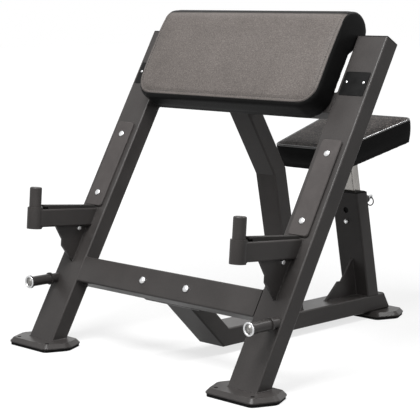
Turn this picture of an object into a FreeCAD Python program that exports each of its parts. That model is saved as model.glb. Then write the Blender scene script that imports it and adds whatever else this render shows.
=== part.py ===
import FreeCAD, Part
import Sketcher
import math
import os
import types

# Driving sizes of the bench, in millimetres and degrees
sizes = {
    # Feet: elongated eight-sided plates on rubber pads
    "foot_base": 972, "foot_width": 210, "foot_depth": 132, "foot_corner_x": 26, "foot_corner_y": 58,
    "foot_plate": 13, "foot_bevel": 10, "foot_round": 18, "foot_rubber": 8, "rubber_inset": 2,
    "anchor_spacing": 124, "anchor_offset": 42, "anchor_radius": 5.5,
    # Frame tube shared by uprights, base and rear post
    "tube_width": 100, "tube_depth": 50, "tube_wall": 3, "tube_corner": 5,
    # Uprights, leaning back from the front feet
    "upright_spacing": 784, "upright_lean": 30, "upright_length": 981, "upright_setback": 17,
    "cap_height": 4, "cap_round": 3,
    # Cross members between the uprights
    "front_bar": 75, "front_bar_height": 223, "upper_bar": 60, "upper_bar_drop": 194,
    # Bolted flange at the front end of the base tube
    "flange_width": 210, "flange_thickness": 8, "flange_bolt_spacing": 168,
    "bolt_radius": 6, "bolt_head_radius": 10.5, "bolt_head_height": 7, "bolt_clearance": 0.3,
    "head_rim": 1.6, "nut_height": 9, "nut_radius": 11,
    # Base tube, sloping down from the front bar and then level to the rear foot
    "base_slope": 45, "base_end": 27, "base_end_slant": 30,
    # Spine tube between the base and the upper cross member
    "spine_width": 75, "spine_ahead": 338.2, "spine_lean": 11, "spine_bend_height": 411.7, "spine_cope": 18.3,
    # Rear post and its gusset
    "post_lean": 11, "post_offset": 47.5, "post_length": 331,
    "rear_gusset_thickness": 8, "rear_gusset_height": 116, "rear_gusset_reach": 144,
    "rear_step_height": 51, "rear_step_reach": 87, "rear_step_width": 16,
    # Guide sleeve in the top of the post
    "guide_length": 102, "guide_lip": 3, "guide_ear": 5, "guide_clearance": 0.2, "guide_screw_drop": 90,
    "cap_head_radius": 6.5, "cap_head_height": 8, "cap_head_bevel": 1,
    "screw_radius": 4, "screw_head_radius": 7.5, "screw_head_height": 4.5, "screw_depth": 5,
    # Seat tube, seat plate and seat
    "seat_tube_width": 70, "seat_tube_depth": 30, "seat_tube_wall": 2.5, "seat_tube_corner": 6,
    "seat_clearance": 0.3, "seat_insert": 176, "seat_rise": 113.5, "seat_tilt": 14,
    "seat_plate": 5, "seat_plate_width": 150, "seat_plate_length": 190,
    "seat_board": 12, "seat_board_inset": 17, "seat_height": 72,
    "seat_front_width": 241, "seat_rear_width": 314, "seat_front_reach": 167, "seat_rear_reach": 146,
    "seat_corner": 16, "seat_draw": 9, "seat_belly": 36, "seat_swell": 2, "seat_shoulder": 4,
    "seat_crown": 2.5, "crown_inset": 45, "soft_clearance": 0.3,
    # Pull pin behind the post
    "pin_drop": 49, "pin_pitch": 25, "pin_stops": 3, "pin_travel": 10, "plunger_radius": 4.75,
    "pin_clearance": 0.25, "pin_engagement": 6, "housing_radius": 12, "housing_length": 52,
    "chamber_radius": 8, "spring_length": 24, "plunger_collar": 4, "collar_clearance": 0.3, "pin_neck": 9,
    "eye_length": 15, "eye_width": 8, "eye_height": 12, "eye_hole_radius": 2.75,
    "ring_radius": 13, "ring_wire": 1.8, "front_hole_radius": 9.5, "front_hole_drop": 55,
    # Bar catches
    "catch_height": 380, "catch_reach": 202, "catch_tilt": 4.5, "arm_width": 40, "arm_height": 50,
    "arm_wall": 5, "groove_width": 28, "groove_depth": 12, "liner_rise": 7, "liner_lead": 10.5, "liner_lap": 5,
    "liner_back": 12, "lap_clearance": 1.5, "liner_clearance": 0.2, "liner_gap": 14,
    "boss_radius": 21.2, "boss_height": 60, "weld_gap": 0.05,
    "horn_radius": 16.85, "horn_rise": 56, "horn_round": 4, "horn_clearance": 0.05,
    "gusset_thickness": 8, "gusset_nose": 75, "gusset_step": 101, "gusset_step_top": 39,
    "gusset_step_drop": 18, "gusset_drop": 103,
    "stud_reach": 158, "stud_drop": 8, "stud_radius": 6.5, "stud_length": 5, "stud_round": 2,
    # Storage pegs low on the uprights
    "peg_offset": 33, "peg_height": 183, "peg_reach": 102, "neck_radius": 13, "neck_length": 24,
    "collar_radius": 17.5, "collar_length": 5, "peg_radius": 14, "flange_length": 4, "peg_cap_radius": 18,
    "peg_cap_length": 2.5, "peg_cap_round": 1,
    # Wear guards and bare badge plates on the uprights
    "guard_width": 65, "guard_length": 268, "guard_thickness": 7, "guard_gap": 4.3, "guard_corner": 10,
    "guard_bevel": 2, "guard_bolt_inset": 40, "guard_head_radius": 9,
    "badge_width": 80, "badge_length": 68, "badge_thickness": 1.5, "badge_shift": 12, "badge_corner": 3,
    # Arm pad
    "pad_gap": 4, "pad_overhang": 52, "pad_undercut": 6, "pad_thickness": 65, "pad_taper": 7,
    "roll_radius": 52, "pad_length": 252, "roll_rise": 60, "pad_crown": 2.5, "pad_corner": 60,
    "pad_edge": 6.5, "pad_board": 12, "pad_board_inset": 72, "pad_board_margin": 20, "pad_bolt_inset": 66,
    "pad_bolt_radius": 5, "pad_bolt_head": 10, "pad_bolt_depth": 9,
}

Vector = FreeCAD.Vector
Rotation = FreeCAD.Rotation
Placement = FreeCAD.Placement
doc = FreeCAD.newDocument("preacher_curl_bench")
sheet = doc.addObject("Spreadsheet::Sheet", "Sizes")
for row, (alias, number) in enumerate(sizes.items(), start=1):
    sheet.set(f"A{row}", alias)
    sheet.set(f"B{row}", str(number))
    sheet.setAlias(f"B{row}", alias)
doc.recompute()


class Size:
    """A number together with the sheet expression that gives it."""

    def __init__(self, value, text):
        self.value = float(value)
        self.text = text

    def __add__(self, other):
        return Size(self.value + size(other).value, f"({self.text} + {size(other).text})")

    def __sub__(self, other):
        return Size(self.value - size(other).value, f"({self.text} - {size(other).text})")

    def __mul__(self, other):
        return Size(self.value * size(other).value, f"({self.text} * {size(other).text})")

    def __truediv__(self, other):
        return Size(self.value / size(other).value, f"({self.text} / {size(other).text})")

    def __neg__(self):
        return Size(-self.value, f"(0 - {self.text})")


def size(given):
    return given if isinstance(given, Size) else Size(given, repr(given))


def tangent(angle):
    return Size(math.tan(math.radians(angle.value)), f"tan({angle.text})")


def sine(angle):
    return Size(math.sin(math.radians(angle.value)), f"sin({angle.text})")


def cosine(angle):
    return Size(math.cos(math.radians(angle.value)), f"cos({angle.text})")


def in_degrees(angle):
    return Size(angle.value, f"({angle.text} * 1 deg)")


def slope_of(rise, run):
    return Size(math.degrees(math.atan2(rise.value, run.value)), f"atan({rise.text} / {run.text})")


d = types.SimpleNamespace(**{alias: Size(number, f"Sizes.{alias}") for alias, number in sizes.items()})
zero = Size(0, "0")
right_angle = Size(90, "90 deg")
pieces = []


# Modelling steps

def start(label, placement=Placement()):
    body = doc.addObject("PartDesign::Body", label)
    body.Label = label
    body.Placement = placement
    pieces.append(body)
    return body


def sketch_on(body, role, height=zero):
    sketch = body.newObject("Sketcher::SketchObject", f"{body.Name}_sketch")
    plane = [feature for feature in body.Origin.OriginFeatures if feature.Role == role][0]
    sketch.AttachmentSupport = [(plane, "")]
    sketch.MapMode = "FlatFace"
    sketch.setExpression("AttachmentOffset.Base.z", height.text)
    return sketch


def arc_between(start_point, end_point, radius):
    """Arc from one point to the next, turning left for a positive radius, under a half circle."""
    chord = end_point - start_point
    left = Vector(-chord.y, chord.x, 0).normalize()
    rise = math.sqrt(radius * radius - chord.Length * chord.Length / 4)
    side = 1 if radius > 0 else -1
    centre = (start_point + end_point) * 0.5 + left * (side * rise)
    middle = centre - left * (side * abs(radius))
    return Part.Arc(start_point, middle, end_point)


def outline(body, role, points, arcs=None, height=zero):
    """Closed sketch through points given as sizes; arcs holds the radius of each curved stretch."""
    arcs = arcs or {}
    sketch = sketch_on(body, role, height)
    points = [(size(x), size(y)) for x, y in points]
    flat = [Vector(x.value, y.value, 0) for x, y in points]
    last = len(points)
    ends = []
    for index in range(last):
        here, after = flat[index], flat[(index + 1) % last]
        if index in arcs:
            edge = arc_between(here, after, arcs[index].value)
            swapped = arcs[index].value < 0
        else:
            edge = Part.LineSegment(here, after)
            swapped = False
        sketch.addGeometry(edge)
        ends.append((2, 1) if swapped else (1, 2))
    for index in range(last):
        after = (index + 1) % last
        sketch.addConstraint(Sketcher.Constraint("Coincident", index, ends[index][1], after, ends[after][0]))
    for index, (x, y) in enumerate(points):
        for kind, value in (("DistanceX", x), ("DistanceY", y)):
            rule = Sketcher.Constraint(kind, -1, 1, index, ends[index][0], value.value)
            number = sketch.addConstraint(rule)
            sketch.setExpression(f"Constraints[{number}]", value.text)
    for index, radius in arcs.items():
        number = sketch.addConstraint(Sketcher.Constraint("Radius", index, abs(radius.value)))
        sketch.setExpression(f"Constraints[{number}]", f"abs({radius.text})")
    return sketch


def circles(body, role, radius, centres, height=zero):
    sketch = sketch_on(body, role, height)
    for index, (x, y) in enumerate(centres):
        x, y = size(x), size(y)
        sketch.addGeometry(Part.Circle(Vector(x.value, y.value, 0), Vector(0, 0, 1), radius.value))
        for kind, value in (("DistanceX", x), ("DistanceY", y)):
            number = sketch.addConstraint(Sketcher.Constraint(kind, -1, 1, index, 3, value.value))
            sketch.setExpression(f"Constraints[{number}]", value.text)
        number = sketch.addConstraint(Sketcher.Constraint("Radius", index, radius.value))
        sketch.setExpression(f"Constraints[{number}]", radius.text)
    return sketch


def pad(body, sketch, length, both=False, back=False):
    feature = body.newObject("PartDesign::Pad", f"{body.Name}_pad")
    feature.Profile = sketch
    feature.setExpression("Length", length.text)
    feature.SideType = "Symmetric" if both else "One side"
    feature.Reversed = back
    doc.recompute()
    return feature


def pocket(body, sketch, length=None, back=False):
    """Cut right through on both sides, or to a depth on one side, and make sure that it cuts."""
    before = body.Shape.Volume
    feature = body.newObject("PartDesign::Pocket", f"{body.Name}_pocket")
    feature.Profile = sketch
    if length is None:
        feature.Type = "ThroughAll"
        feature.SideType = "Symmetric"
    else:
        feature.setExpression("Length", length.text)
        feature.Reversed = back
    doc.recompute()
    if body.Shape.Volume >= before:
        raise RuntimeError(f"{body.Label}: a pocket cuts nothing")
    return feature


def narrow_pocket(body, sketch, width):
    """Cut over a given width, half on each side of the sketch."""
    before = body.Shape.Volume
    feature = body.newObject("PartDesign::Pocket", f"{body.Name}_hollow")
    feature.Profile = sketch
    feature.SideType = "Symmetric"
    feature.setExpression("Length", width.text)
    doc.recompute()
    if body.Shape.Volume >= before:
        raise RuntimeError(f"{body.Label}: a hollow cuts nothing")
    return feature


def revolve(body, points, arcs=None):
    """Turned piece: points hold the radius and the height along the local Z axis."""
    sketch = outline(body, "XZ_Plane", points, arcs)
    feature = body.newObject("PartDesign::Revolution", f"{body.Name}_turned")
    feature.Profile = sketch
    feature.ReferenceAxis = (sketch, ["V_Axis"])
    feature.Angle = 360
    doc.recompute()
    return feature


def loft(body, sketches, ruled=False):
    feature = body.newObject("PartDesign::AdditiveLoft", f"{body.Name}_loft")
    feature.Ruled = ruled
    feature.Profile = sketches[0]
    feature.Sections = sketches[1:]
    doc.recompute()
    return feature


def dress(body, kind, amount, wanted):
    """Fillet or chamfer the edges for which wanted is true."""
    tip = body.Tip
    names = [f"Edge{index}" for index, edge in enumerate(tip.Shape.Edges, start=1) if wanted(edge)]
    if not names:
        raise RuntimeError(f"{body.Label}: no edge to dress")
    feature = body.newObject(f"PartDesign::{kind}", f"{body.Name}_{kind}")
    feature.Base = (tip, names)
    feature.setExpression("Radius" if kind == "Fillet" else "Size", amount.text)
    doc.recompute()
    return feature


def direction(edge):
    first, last = edge.Vertexes[0].Point, edge.Vertexes[-1].Point
    return (last - first).normalize() if first != last else Vector()


def straight(edge):
    return isinstance(edge.Curve, Part.Line)


def along_x(edge):
    return straight(edge) and abs(direction(edge).x) > 0.999


def along_y(edge):
    return straight(edge) and abs(direction(edge).y) > 0.999


def along_z(edge):
    return straight(edge) and abs(direction(edge).z) > 0.999


def rectangle(x0, y0, x1, y1):
    return [(x0, y0), (x1, y0), (x1, y1), (x0, y1)]


# Places that the pieces share

foot_top = d.foot_plate + d.foot_rubber
base_top = foot_top + d.tube_depth
front_foot_y = -d.foot_base / 2
rear_foot_y = d.foot_base / 2
front_y = front_foot_y - d.upright_setback
tilt_axis = Vector(1, 0, 0)
sides = {"left": -1, "right": 1}
hair = 0.01


def upright_frame(x=0, along=zero, ahead=zero):
    """Frame on the uprights' front plane: Y points back into the tube and Z runs up it."""
    turn = Rotation(tilt_axis, -d.upright_lean.value)
    origin = Vector(x, front_y.value, foot_top.value)
    return Placement(origin + turn.multVec(Vector(0, -ahead.value, along.value)), turn)


def arm_frame(x, along, reach, tilt):
    """Frame of a catch or peg: Y runs back to the upright, with the origin at its outer end."""
    turn = Rotation(tilt_axis, -tilt.value)
    return Placement(upright_frame(x, along).Base - turn.multVec(Vector(0, reach.value, 0)), turn)


def post_frame(along=zero, back=zero):
    """Frame of the rear post: Z runs up its axis from the top of the base tube."""
    turn = Rotation(tilt_axis, d.post_lean.value)
    origin = Vector(0, (rear_foot_y - d.post_offset).value, base_top.value)
    return Placement(origin + turn.multVec(Vector(0, back.value, along.value)), turn)


def seat_frame():
    """Frame of the seat: its origin is on the post's axis, on the underside of the seat board."""
    turn = Rotation(tilt_axis, d.seat_tilt.value)
    bottom = post_frame(d.post_length + d.seat_rise)
    return Placement(bottom.Base + turn.multVec(Vector(0, 0, d.seat_plate.value)), turn)


def pointing(frame, axis):
    """Frame with its Z axis along the given local axis of another frame."""
    return Placement(frame.Base, frame.Rotation.multiply(Rotation(Vector(0, 0, 1), axis)))


half_width = d.tube_width / 2
inner_width = d.tube_width - d.tube_wall * 2
upright_x = (d.upright_spacing / 2).value
bar_length = d.upright_spacing - d.tube_width
pad_width = bar_length - d.pad_gap * 2
board_half = pad_width / 2 - d.pad_board_inset
arm_lean = d.upright_lean - d.catch_tilt
upper_bar_height = d.upright_length - d.upper_bar_drop


# Feet

def octagon(half_x, half_y):
    inner_x = half_x - d.foot_corner_x
    inner_y = half_y - d.foot_corner_y
    return [(-inner_x, -half_y), (inner_x, -half_y), (half_x, -inner_y), (half_x, inner_y),
            (inner_x, half_y), (-inner_x, half_y), (-half_x, inner_y), (-half_x, -inner_y)]


def foot(side, x, y, anchored):
    anchors = [(d.anchor_spacing / 2 * sign, -d.anchor_offset) for sign in sides.values()]
    plate = start(f"{side}_foot_plate", Placement(Vector(x, y.value, d.foot_rubber.value), Rotation()))
    pad(plate, outline(plate, "XY_Plane", octagon(d.foot_width / 2, d.foot_depth / 2)), d.foot_plate)
    top = d.foot_plate.value
    dress(plate, "Fillet", d.foot_round, along_z)
    dress(plate, "Chamfer", d.foot_bevel, lambda edge: min(v.Z for v in edge.Vertexes) > top - hair)
    rubber = start(f"{side}_foot_rubber", Placement(Vector(x, y.value, 0), Rotation()))
    shape = octagon(d.foot_width / 2 - d.rubber_inset, d.foot_depth / 2 - d.rubber_inset)
    pad(rubber, outline(rubber, "XY_Plane", shape), d.foot_rubber)
    dress(rubber, "Fillet", d.foot_round - d.rubber_inset, along_z)
    if anchored:
        for piece in (plate, rubber):
            pocket(piece, circles(piece, "XY_Plane", d.anchor_radius, anchors))


foot("rear", 0, rear_foot_y, False)
for side, sign in sides.items():
    foot(side, sign * upright_x, front_foot_y, True)


# Uprights, capped at the top and cut level at the foot

for side, sign in sides.items():
    upright = start(f"{side}_upright", upright_frame(sign * upright_x))
    heel = d.tube_depth * tangent(d.upright_lean)
    side_view = [(zero, zero), (d.tube_depth, heel), (d.tube_depth, d.upright_length),
                 (zero, d.upright_length)]
    pad(upright, outline(upright, "YZ_Plane", side_view), d.tube_width, both=True)
    dress(upright, "Fillet", d.tube_corner, along_z)
    back_wall = d.tube_depth - d.tube_wall
    bore = outline(upright, "XY_Plane", rectangle(-inner_width / 2, d.tube_wall, inner_width / 2, back_wall))
    pocket(upright, bore)

    cap = start(f"{side}_upright_cap", upright_frame(sign * upright_x, d.upright_length))
    pad(cap, outline(cap, "XY_Plane", rectangle(-half_width, zero, half_width, d.tube_depth)), d.cap_height)
    dress(cap, "Fillet", d.tube_corner, along_z)
    cap_top = d.cap_height.value
    dress(cap, "Fillet", d.cap_round, lambda edge: min(v.Z for v in edge.Vertexes) > cap_top - hair)


# Cross members, front faces level with the uprights

def cross_member(label, depth, height):
    bar = start(label, upright_frame(0, height))
    half = depth / 2
    pad(bar, outline(bar, "YZ_Plane", rectangle(zero, -half, d.tube_depth, half)), bar_length, both=True)
    dress(bar, "Fillet", d.tube_corner, along_x)
    wall = d.tube_wall
    pocket(bar, outline(bar, "YZ_Plane", rectangle(wall, wall - half, d.tube_depth - wall, half - wall)))
    return bar


flange_bolts = [(d.flange_bolt_spacing / 2 * sign, zero) for sign in sides.values()]
bolt_hole = d.bolt_radius + d.bolt_clearance
front_bar = cross_member("front_crossbar", d.front_bar, d.front_bar_height)
pocket(front_bar, circles(front_bar, "XZ_Plane", bolt_hole, flange_bolts))

pad_bolt_x = board_half - d.pad_bolt_inset
pad_bolts = [(pad_bolt_x * sign, zero) for sign in sides.values()]
pad_bolt_hole = d.pad_bolt_radius + d.bolt_clearance
upper_bar = cross_member("upper_crossmember", d.upper_bar, upper_bar_height)
pocket(upper_bar, circles(upper_bar, "XZ_Plane", pad_bolt_hole, pad_bolts))


# Flange that joins the base tube to the front bar

flange = start("base_flange", upright_frame(0, d.front_bar_height, -d.tube_depth))
half_bar = d.front_bar / 2
half_flange = d.flange_width / 2
flange_outline = outline(flange, "XZ_Plane", rectangle(-half_flange, -half_bar, half_flange, half_bar))
pad(flange, flange_outline, d.flange_thickness, back=True)
pocket(flange, circles(flange, "XZ_Plane", bolt_hole, flange_bolts))


def dome_bolt(label, frame, head_radius, head_height, radius, length):
    """Bolt with a domed head; its shank runs along the local Z axis."""
    bolt = start(label, frame)
    rise = head_height - d.head_rim
    dome = (head_radius * head_radius + rise * rise) / (rise * 2)
    revolve(bolt, [(zero, length), (zero, -head_height), (head_radius, -d.head_rim), (head_radius, zero),
                   (radius, zero), (radius, length)], {1: dome})


into_upright = Vector(0, 1, 0)
sixth = math.pi / 3
grip = d.tube_depth + d.flange_thickness
for side, sign in sides.items():
    bolt_x = (d.flange_bolt_spacing / 2).value * sign
    bolt_frame = pointing(upright_frame(bolt_x, d.front_bar_height), into_upright)
    dome_bolt(f"{side}_crossbar_bolt", bolt_frame, d.bolt_head_radius, d.bolt_head_height, d.bolt_radius,
              grip + d.nut_height)
    nut_frame = pointing(upright_frame(bolt_x, d.front_bar_height, -grip), into_upright)
    nut = start(f"{side}_crossbar_nut", nut_frame)
    corners = [(d.nut_radius * math.cos(sixth * k), d.nut_radius * math.sin(sixth * k)) for k in range(6)]
    pad(nut, outline(nut, "XY_Plane", corners), d.nut_height)
    pocket(nut, circles(nut, "XY_Plane", bolt_hole, [(zero, zero)]))


# Base tube: its sloping run meets the flange at the front bar's height

bar_y = front_y + d.front_bar_height * sine(d.upright_lean)
bar_z = foot_top + d.front_bar_height * cosine(d.upright_lean)
joint_y = bar_y + grip * cosine(d.upright_lean)
joint_z = bar_z - grip * sine(d.upright_lean)
flange_skew = d.base_slope - d.upright_lean
base_reach = d.tube_depth / 2 / cosine(flange_skew)


def on_flange(across):
    """Place on the flange's back face, across the sloping run from its axis, positive upwards."""
    return (joint_y + across * sine(d.upright_lean), joint_z + across * cosine(d.upright_lean))


def base_profile(wall):
    """Side view of the base tube, drawn in by a wall on its long sides."""
    across = base_reach - wall / cosine(flange_skew)
    low, high = on_flange(-across), on_flange(across)
    bottom = foot_top + wall
    top = base_top - wall
    bend_low = low[0] + (low[1] - bottom) / tangent(d.base_slope)
    bend_high = high[0] + (high[1] - top) / tangent(d.base_slope)
    end_low = rear_foot_y + d.base_end - wall * tangent(d.base_end_slant)
    end_high = end_low - (top - bottom) * tangent(d.base_end_slant)
    return [low, (bend_low, bottom), (end_low, bottom), (end_high, top), (bend_high, top), high]


def long_side(edge):
    return straight(edge) and abs(direction(edge).x) < 0.001 and edge.Length > long_edge


long_edge = d.tube_width.value
base = start("base_tube")
pad(base, outline(base, "YZ_Plane", base_profile(zero)), d.tube_width, both=True)
dress(base, "Fillet", d.tube_corner, long_side)
narrow_pocket(base, outline(base, "YZ_Plane", base_profile(d.tube_wall)), inner_width)

end_angle = d.base_end_slant.value
end_foot = Vector(0, (rear_foot_y + d.base_end).value, foot_top.value)
end_cap = start("base_end_cap", Placement(end_foot, Rotation(tilt_axis, end_angle)))
slant_height = d.tube_depth / cosine(d.base_end_slant)
end_view = outline(end_cap, "YZ_Plane", rectangle(zero, zero, d.cap_height, slant_height))
pad(end_cap, end_view, d.tube_width, both=True)
dress(end_cap, "Fillet", d.tube_corner, along_y)


# Spine: bent tube from the base up to the back of the upper cross member

upper_bottom = upper_bar_height - d.upper_bar / 2
corner_y = front_y + upper_bottom * sine(d.upright_lean) + d.tube_depth * cosine(d.upright_lean)
corner_z = foot_top + upper_bottom * cosine(d.upright_lean) - d.tube_depth * sine(d.upright_lean)
guide_foot_y = rear_foot_y - d.post_offset - d.spine_ahead
guide_bend_y = guide_foot_y - d.spine_bend_height * tangent(d.spine_lean)
guide_bend_z = base_top + d.spine_bend_height
spine_upper_lean = slope_of(guide_bend_y - corner_y, corner_z - guide_bend_z)
spine_turn = (spine_upper_lean - in_degrees(d.spine_lean)) / 2
spine_middle = in_degrees(d.spine_lean) + spine_turn


def spine_line(inset):
    """Foot and bend of a line along the spine, set back from its front face; one meets the bar's corner."""
    back = inset - d.spine_cope
    mitre = back / cosine(spine_turn)
    bend = (guide_bend_y + mitre * cosine(spine_middle), guide_bend_z + mitre * sine(spine_middle))
    return (guide_foot_y + back / cosine(d.spine_lean), base_top), bend


def spine_at_underside(bend):
    """Where the upper run of a line meets the plane of the cross member's underside."""
    fall = tangent(d.upright_lean)
    rise = tangent(spine_upper_lean)
    height = (corner_z - bend[1] + (corner_y - bend[0]) * fall) / (Size(1, "1") - rise * fall)
    return bend[0] - height * rise, bend[1] + height


def spine_at_back(bend):
    """Where the upper run of a line meets the plane of the cross member's back."""
    lean = tangent(d.upright_lean)
    rise = tangent(spine_upper_lean)
    height = (bend[0] - corner_y + (corner_z - bend[1]) * lean) / (rise + lean)
    return bend[0] - height * rise, bend[1] + height


def spine_profile(wall):
    front_foot, front_bend = spine_line(wall)
    back_foot, back_bend = spine_line(d.tube_depth - wall)
    return [front_foot, back_foot, back_bend, spine_at_back(back_bend), (corner_y, corner_z),
            spine_at_underside(front_bend), front_bend]


spine = start("spine_tube")
pad(spine, outline(spine, "YZ_Plane", spine_profile(zero)), d.spine_width, both=True)
dress(spine, "Fillet", d.tube_corner, long_side)
narrow_pocket(spine, outline(spine, "YZ_Plane", spine_profile(d.tube_wall)), d.spine_width - d.tube_wall * 2)


# Rear post with its front hole, screw hole and pin hole

half_depth = d.tube_depth / 2
heel = half_depth * tangent(d.post_lean)
post_back = d.post_length - heel * 2
pin_z = d.post_length - d.pin_drop
screw_z = d.post_length - d.guide_screw_drop
pin_hole = d.plunger_radius + d.pin_clearance
post = start("rear_post", post_frame())
pad(post, outline(post, "YZ_Plane", [(-half_depth, heel), (half_depth, -heel), (half_depth, post_back),
                                     (-half_depth, d.post_length)]), d.tube_width, both=True)
dress(post, "Fillet", d.tube_corner, along_z)
half_bore = half_depth - d.tube_wall
pocket(post, outline(post, "XY_Plane", rectangle(-inner_width / 2, -half_bore, inner_width / 2, half_bore)))
front_hole_z = d.post_length - d.front_hole_drop
pocket(post, circles(post, "XZ_Plane", d.front_hole_radius, [(zero, front_hole_z)]), half_depth, back=True)
screw_hole = d.screw_radius + d.bolt_clearance
pocket(post, circles(post, "XZ_Plane", screw_hole, [(zero, screw_z)]), half_depth, back=True)
pocket(post, circles(post, "XZ_Plane", pin_hole, [(zero, pin_z)]), half_depth)

gusset = start("rear_gusset", post_frame())
rear_gusset_points = [(-half_depth, heel), (-half_depth, heel + d.rear_gusset_height)]
step_back = d.rear_step_reach - d.rear_step_width
level_points = [(step_back, d.rear_step_height), (d.rear_step_reach, d.rear_step_height),
                (d.rear_gusset_reach, zero)]
for ahead, up in level_points:
    reach = half_depth / cosine(d.post_lean) + ahead
    local_y = up * sine(d.post_lean) - reach * cosine(d.post_lean)
    local_z = up * cosine(d.post_lean) + reach * sine(d.post_lean)
    rear_gusset_points.append((local_y, local_z))
pad(gusset, outline(gusset, "YZ_Plane", rear_gusset_points), d.rear_gusset_thickness, both=True)


# Guide sleeve, seat tube and seat

guide = start("post_guide", post_frame(d.post_length))
sleeve_x = inner_width / 2 - d.guide_clearance
sleeve_y = half_bore - d.guide_clearance


def level_line(y, above=zero):
    """Point of the guide's side view, at a height above the level top of the post."""
    return y, above - (y + half_depth) * tangent(d.post_lean)


lip_view = [level_line(-half_depth), level_line(half_depth), level_line(half_depth, d.guide_lip),
            level_line(-half_depth, d.guide_lip)]
pad(guide, outline(guide, "YZ_Plane", lip_view), d.tube_width, both=True)
dress(guide, "Fillet", d.tube_corner, along_z)
sleeve_view = [(-sleeve_y, -d.guide_length), (sleeve_y, -d.guide_length), level_line(sleeve_y),
               level_line(-sleeve_y)]
pad(guide, outline(guide, "YZ_Plane", sleeve_view), sleeve_x * 2, both=True)
slot_x = d.seat_tube_width / 2 + d.seat_clearance
slot_y = d.seat_tube_depth / 2 + d.seat_clearance
pocket(guide, outline(guide, "XY_Plane", rectangle(-slot_x, -slot_y, slot_x, slot_y)))
ear_half = half_depth - d.tube_corner
ear_chord = ear_half / cosine(d.post_lean)
ear_radius = (ear_chord * ear_chord + d.guide_ear * d.guide_ear) / (d.guide_ear * 2)
ear_view = [level_line(-ear_half, d.guide_lip / 2), level_line(ear_half, d.guide_lip / 2),
            level_line(ear_half, d.guide_lip), level_line(-ear_half, d.guide_lip)]
for inner in (slot_x, -half_width):
    pad(guide, outline(guide, "YZ_Plane", ear_view, {2: ear_radius}, inner), half_width - slot_x)
pocket(guide, circles(guide, "XZ_Plane", pin_hole, [(zero, -d.pin_drop)]), half_depth)
pocket(guide, circles(guide, "XZ_Plane", screw_hole, [(zero, -d.guide_screw_drop)]), half_depth, back=True)

screw = start("guide_screw", pointing(post_frame(screw_z, -half_depth), into_upright))
cap_face = d.cap_head_radius - d.cap_head_bevel
screw_end = d.tube_wall + d.screw_depth
revolve(screw, [(zero, screw_end), (zero, -d.cap_head_height), (cap_face, -d.cap_head_height),
                (d.cap_head_radius, d.cap_head_bevel - d.cap_head_height), (d.cap_head_radius, zero),
                (d.screw_radius, zero), (d.screw_radius, screw_end)])

tube_x = d.seat_tube_width / 2
tube_y = d.seat_tube_depth / 2
plate_skew = tangent(d.seat_tilt - d.post_lean)
tube = start("seat_tube", post_frame(d.post_length))
tube_view = [(-tube_y, -d.seat_insert), (tube_y, -d.seat_insert), (tube_y, d.seat_rise + tube_y * plate_skew),
             (-tube_y, d.seat_rise - tube_y * plate_skew)]
pad(tube, outline(tube, "YZ_Plane", tube_view), d.seat_tube_width, both=True)
dress(tube, "Fillet", d.seat_tube_corner, along_z)
inner_x, inner_y = tube_x - d.seat_tube_wall, tube_y - d.seat_tube_wall
pocket(tube, outline(tube, "XY_Plane", rectangle(-inner_x, -inner_y, inner_x, inner_y)))
stops = range(-sizes["pin_stops"], sizes["pin_stops"] + 1)
stop_holes = [(zero, d.pin_pitch * stop - d.pin_drop) for stop in stops]
pocket(tube, circles(tube, "XZ_Plane", pin_hole, stop_holes), tube_y)

plate = start("seat_plate", seat_frame())
half_plate = d.seat_plate_width / 2
plate_length = d.seat_plate_length / 2
plate_outline = outline(plate, "XY_Plane", rectangle(-half_plate, -plate_length, half_plate, plate_length))
pad(plate, plate_outline, d.seat_plate, back=True)


def seat_section(body, inset, height):
    """Trapezoid of the seat with round corners, drawn in by an inset, at a height."""
    front, rear = d.seat_front_width / 2 - inset, d.seat_rear_width / 2 - inset
    low, high = inset - d.seat_front_reach, d.seat_rear_reach - inset
    flare = slope_of(rear - front, high - low)
    front_cut = d.seat_corner * tangent((right_angle - flare) / 2)
    rear_cut = d.seat_corner * tangent((right_angle + flare) / 2)
    corner = d.seat_corner
    right = [(front - front_cut, low), (front + front_cut * sine(flare), low + front_cut * cosine(flare)),
             (rear - rear_cut * sine(flare), high - rear_cut * cosine(flare)), (rear - rear_cut, high)]
    left = [(-x, y) for x, y in reversed(right)]
    return outline(body, "XY_Plane", right + left, {0: corner, 2: corner, 4: corner, 6: corner}, height)


board = start("seat_board", seat_frame())
pad(board, seat_section(board, d.seat_board_inset, zero), d.seat_board)

cushion = start("seat_cushion", seat_frame())
shoulder = d.seat_height - d.seat_shoulder
loft(cushion, [seat_section(cushion, d.seat_draw, zero), seat_section(cushion, d.seat_swell, d.seat_belly),
               seat_section(cushion, zero, shoulder)])
crown_top = d.seat_height + d.seat_crown
loft(cushion, [seat_section(cushion, zero, shoulder), seat_section(cushion, d.seat_shoulder, d.seat_height),
               seat_section(cushion, d.crown_inset, crown_top)], ruled=True)
board_recess = seat_section(cushion, d.seat_board_inset - d.soft_clearance, zero)
pocket(cushion, board_recess, d.seat_board + d.soft_clearance, back=True)


# Pull pin: housing on the back of the post, plunger and hanging ring

behind = pointing(post_frame(pin_z, half_depth), into_upright)
housing = start("pin_housing", behind)
chamber_depth = d.plunger_collar + d.pin_travel + d.spring_length
revolve(housing, [(d.chamber_radius, zero), (d.housing_radius, zero), (d.housing_radius, d.housing_length),
                  (pin_hole, d.housing_length), (pin_hole, chamber_depth), (d.chamber_radius, chamber_depth)])

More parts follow.
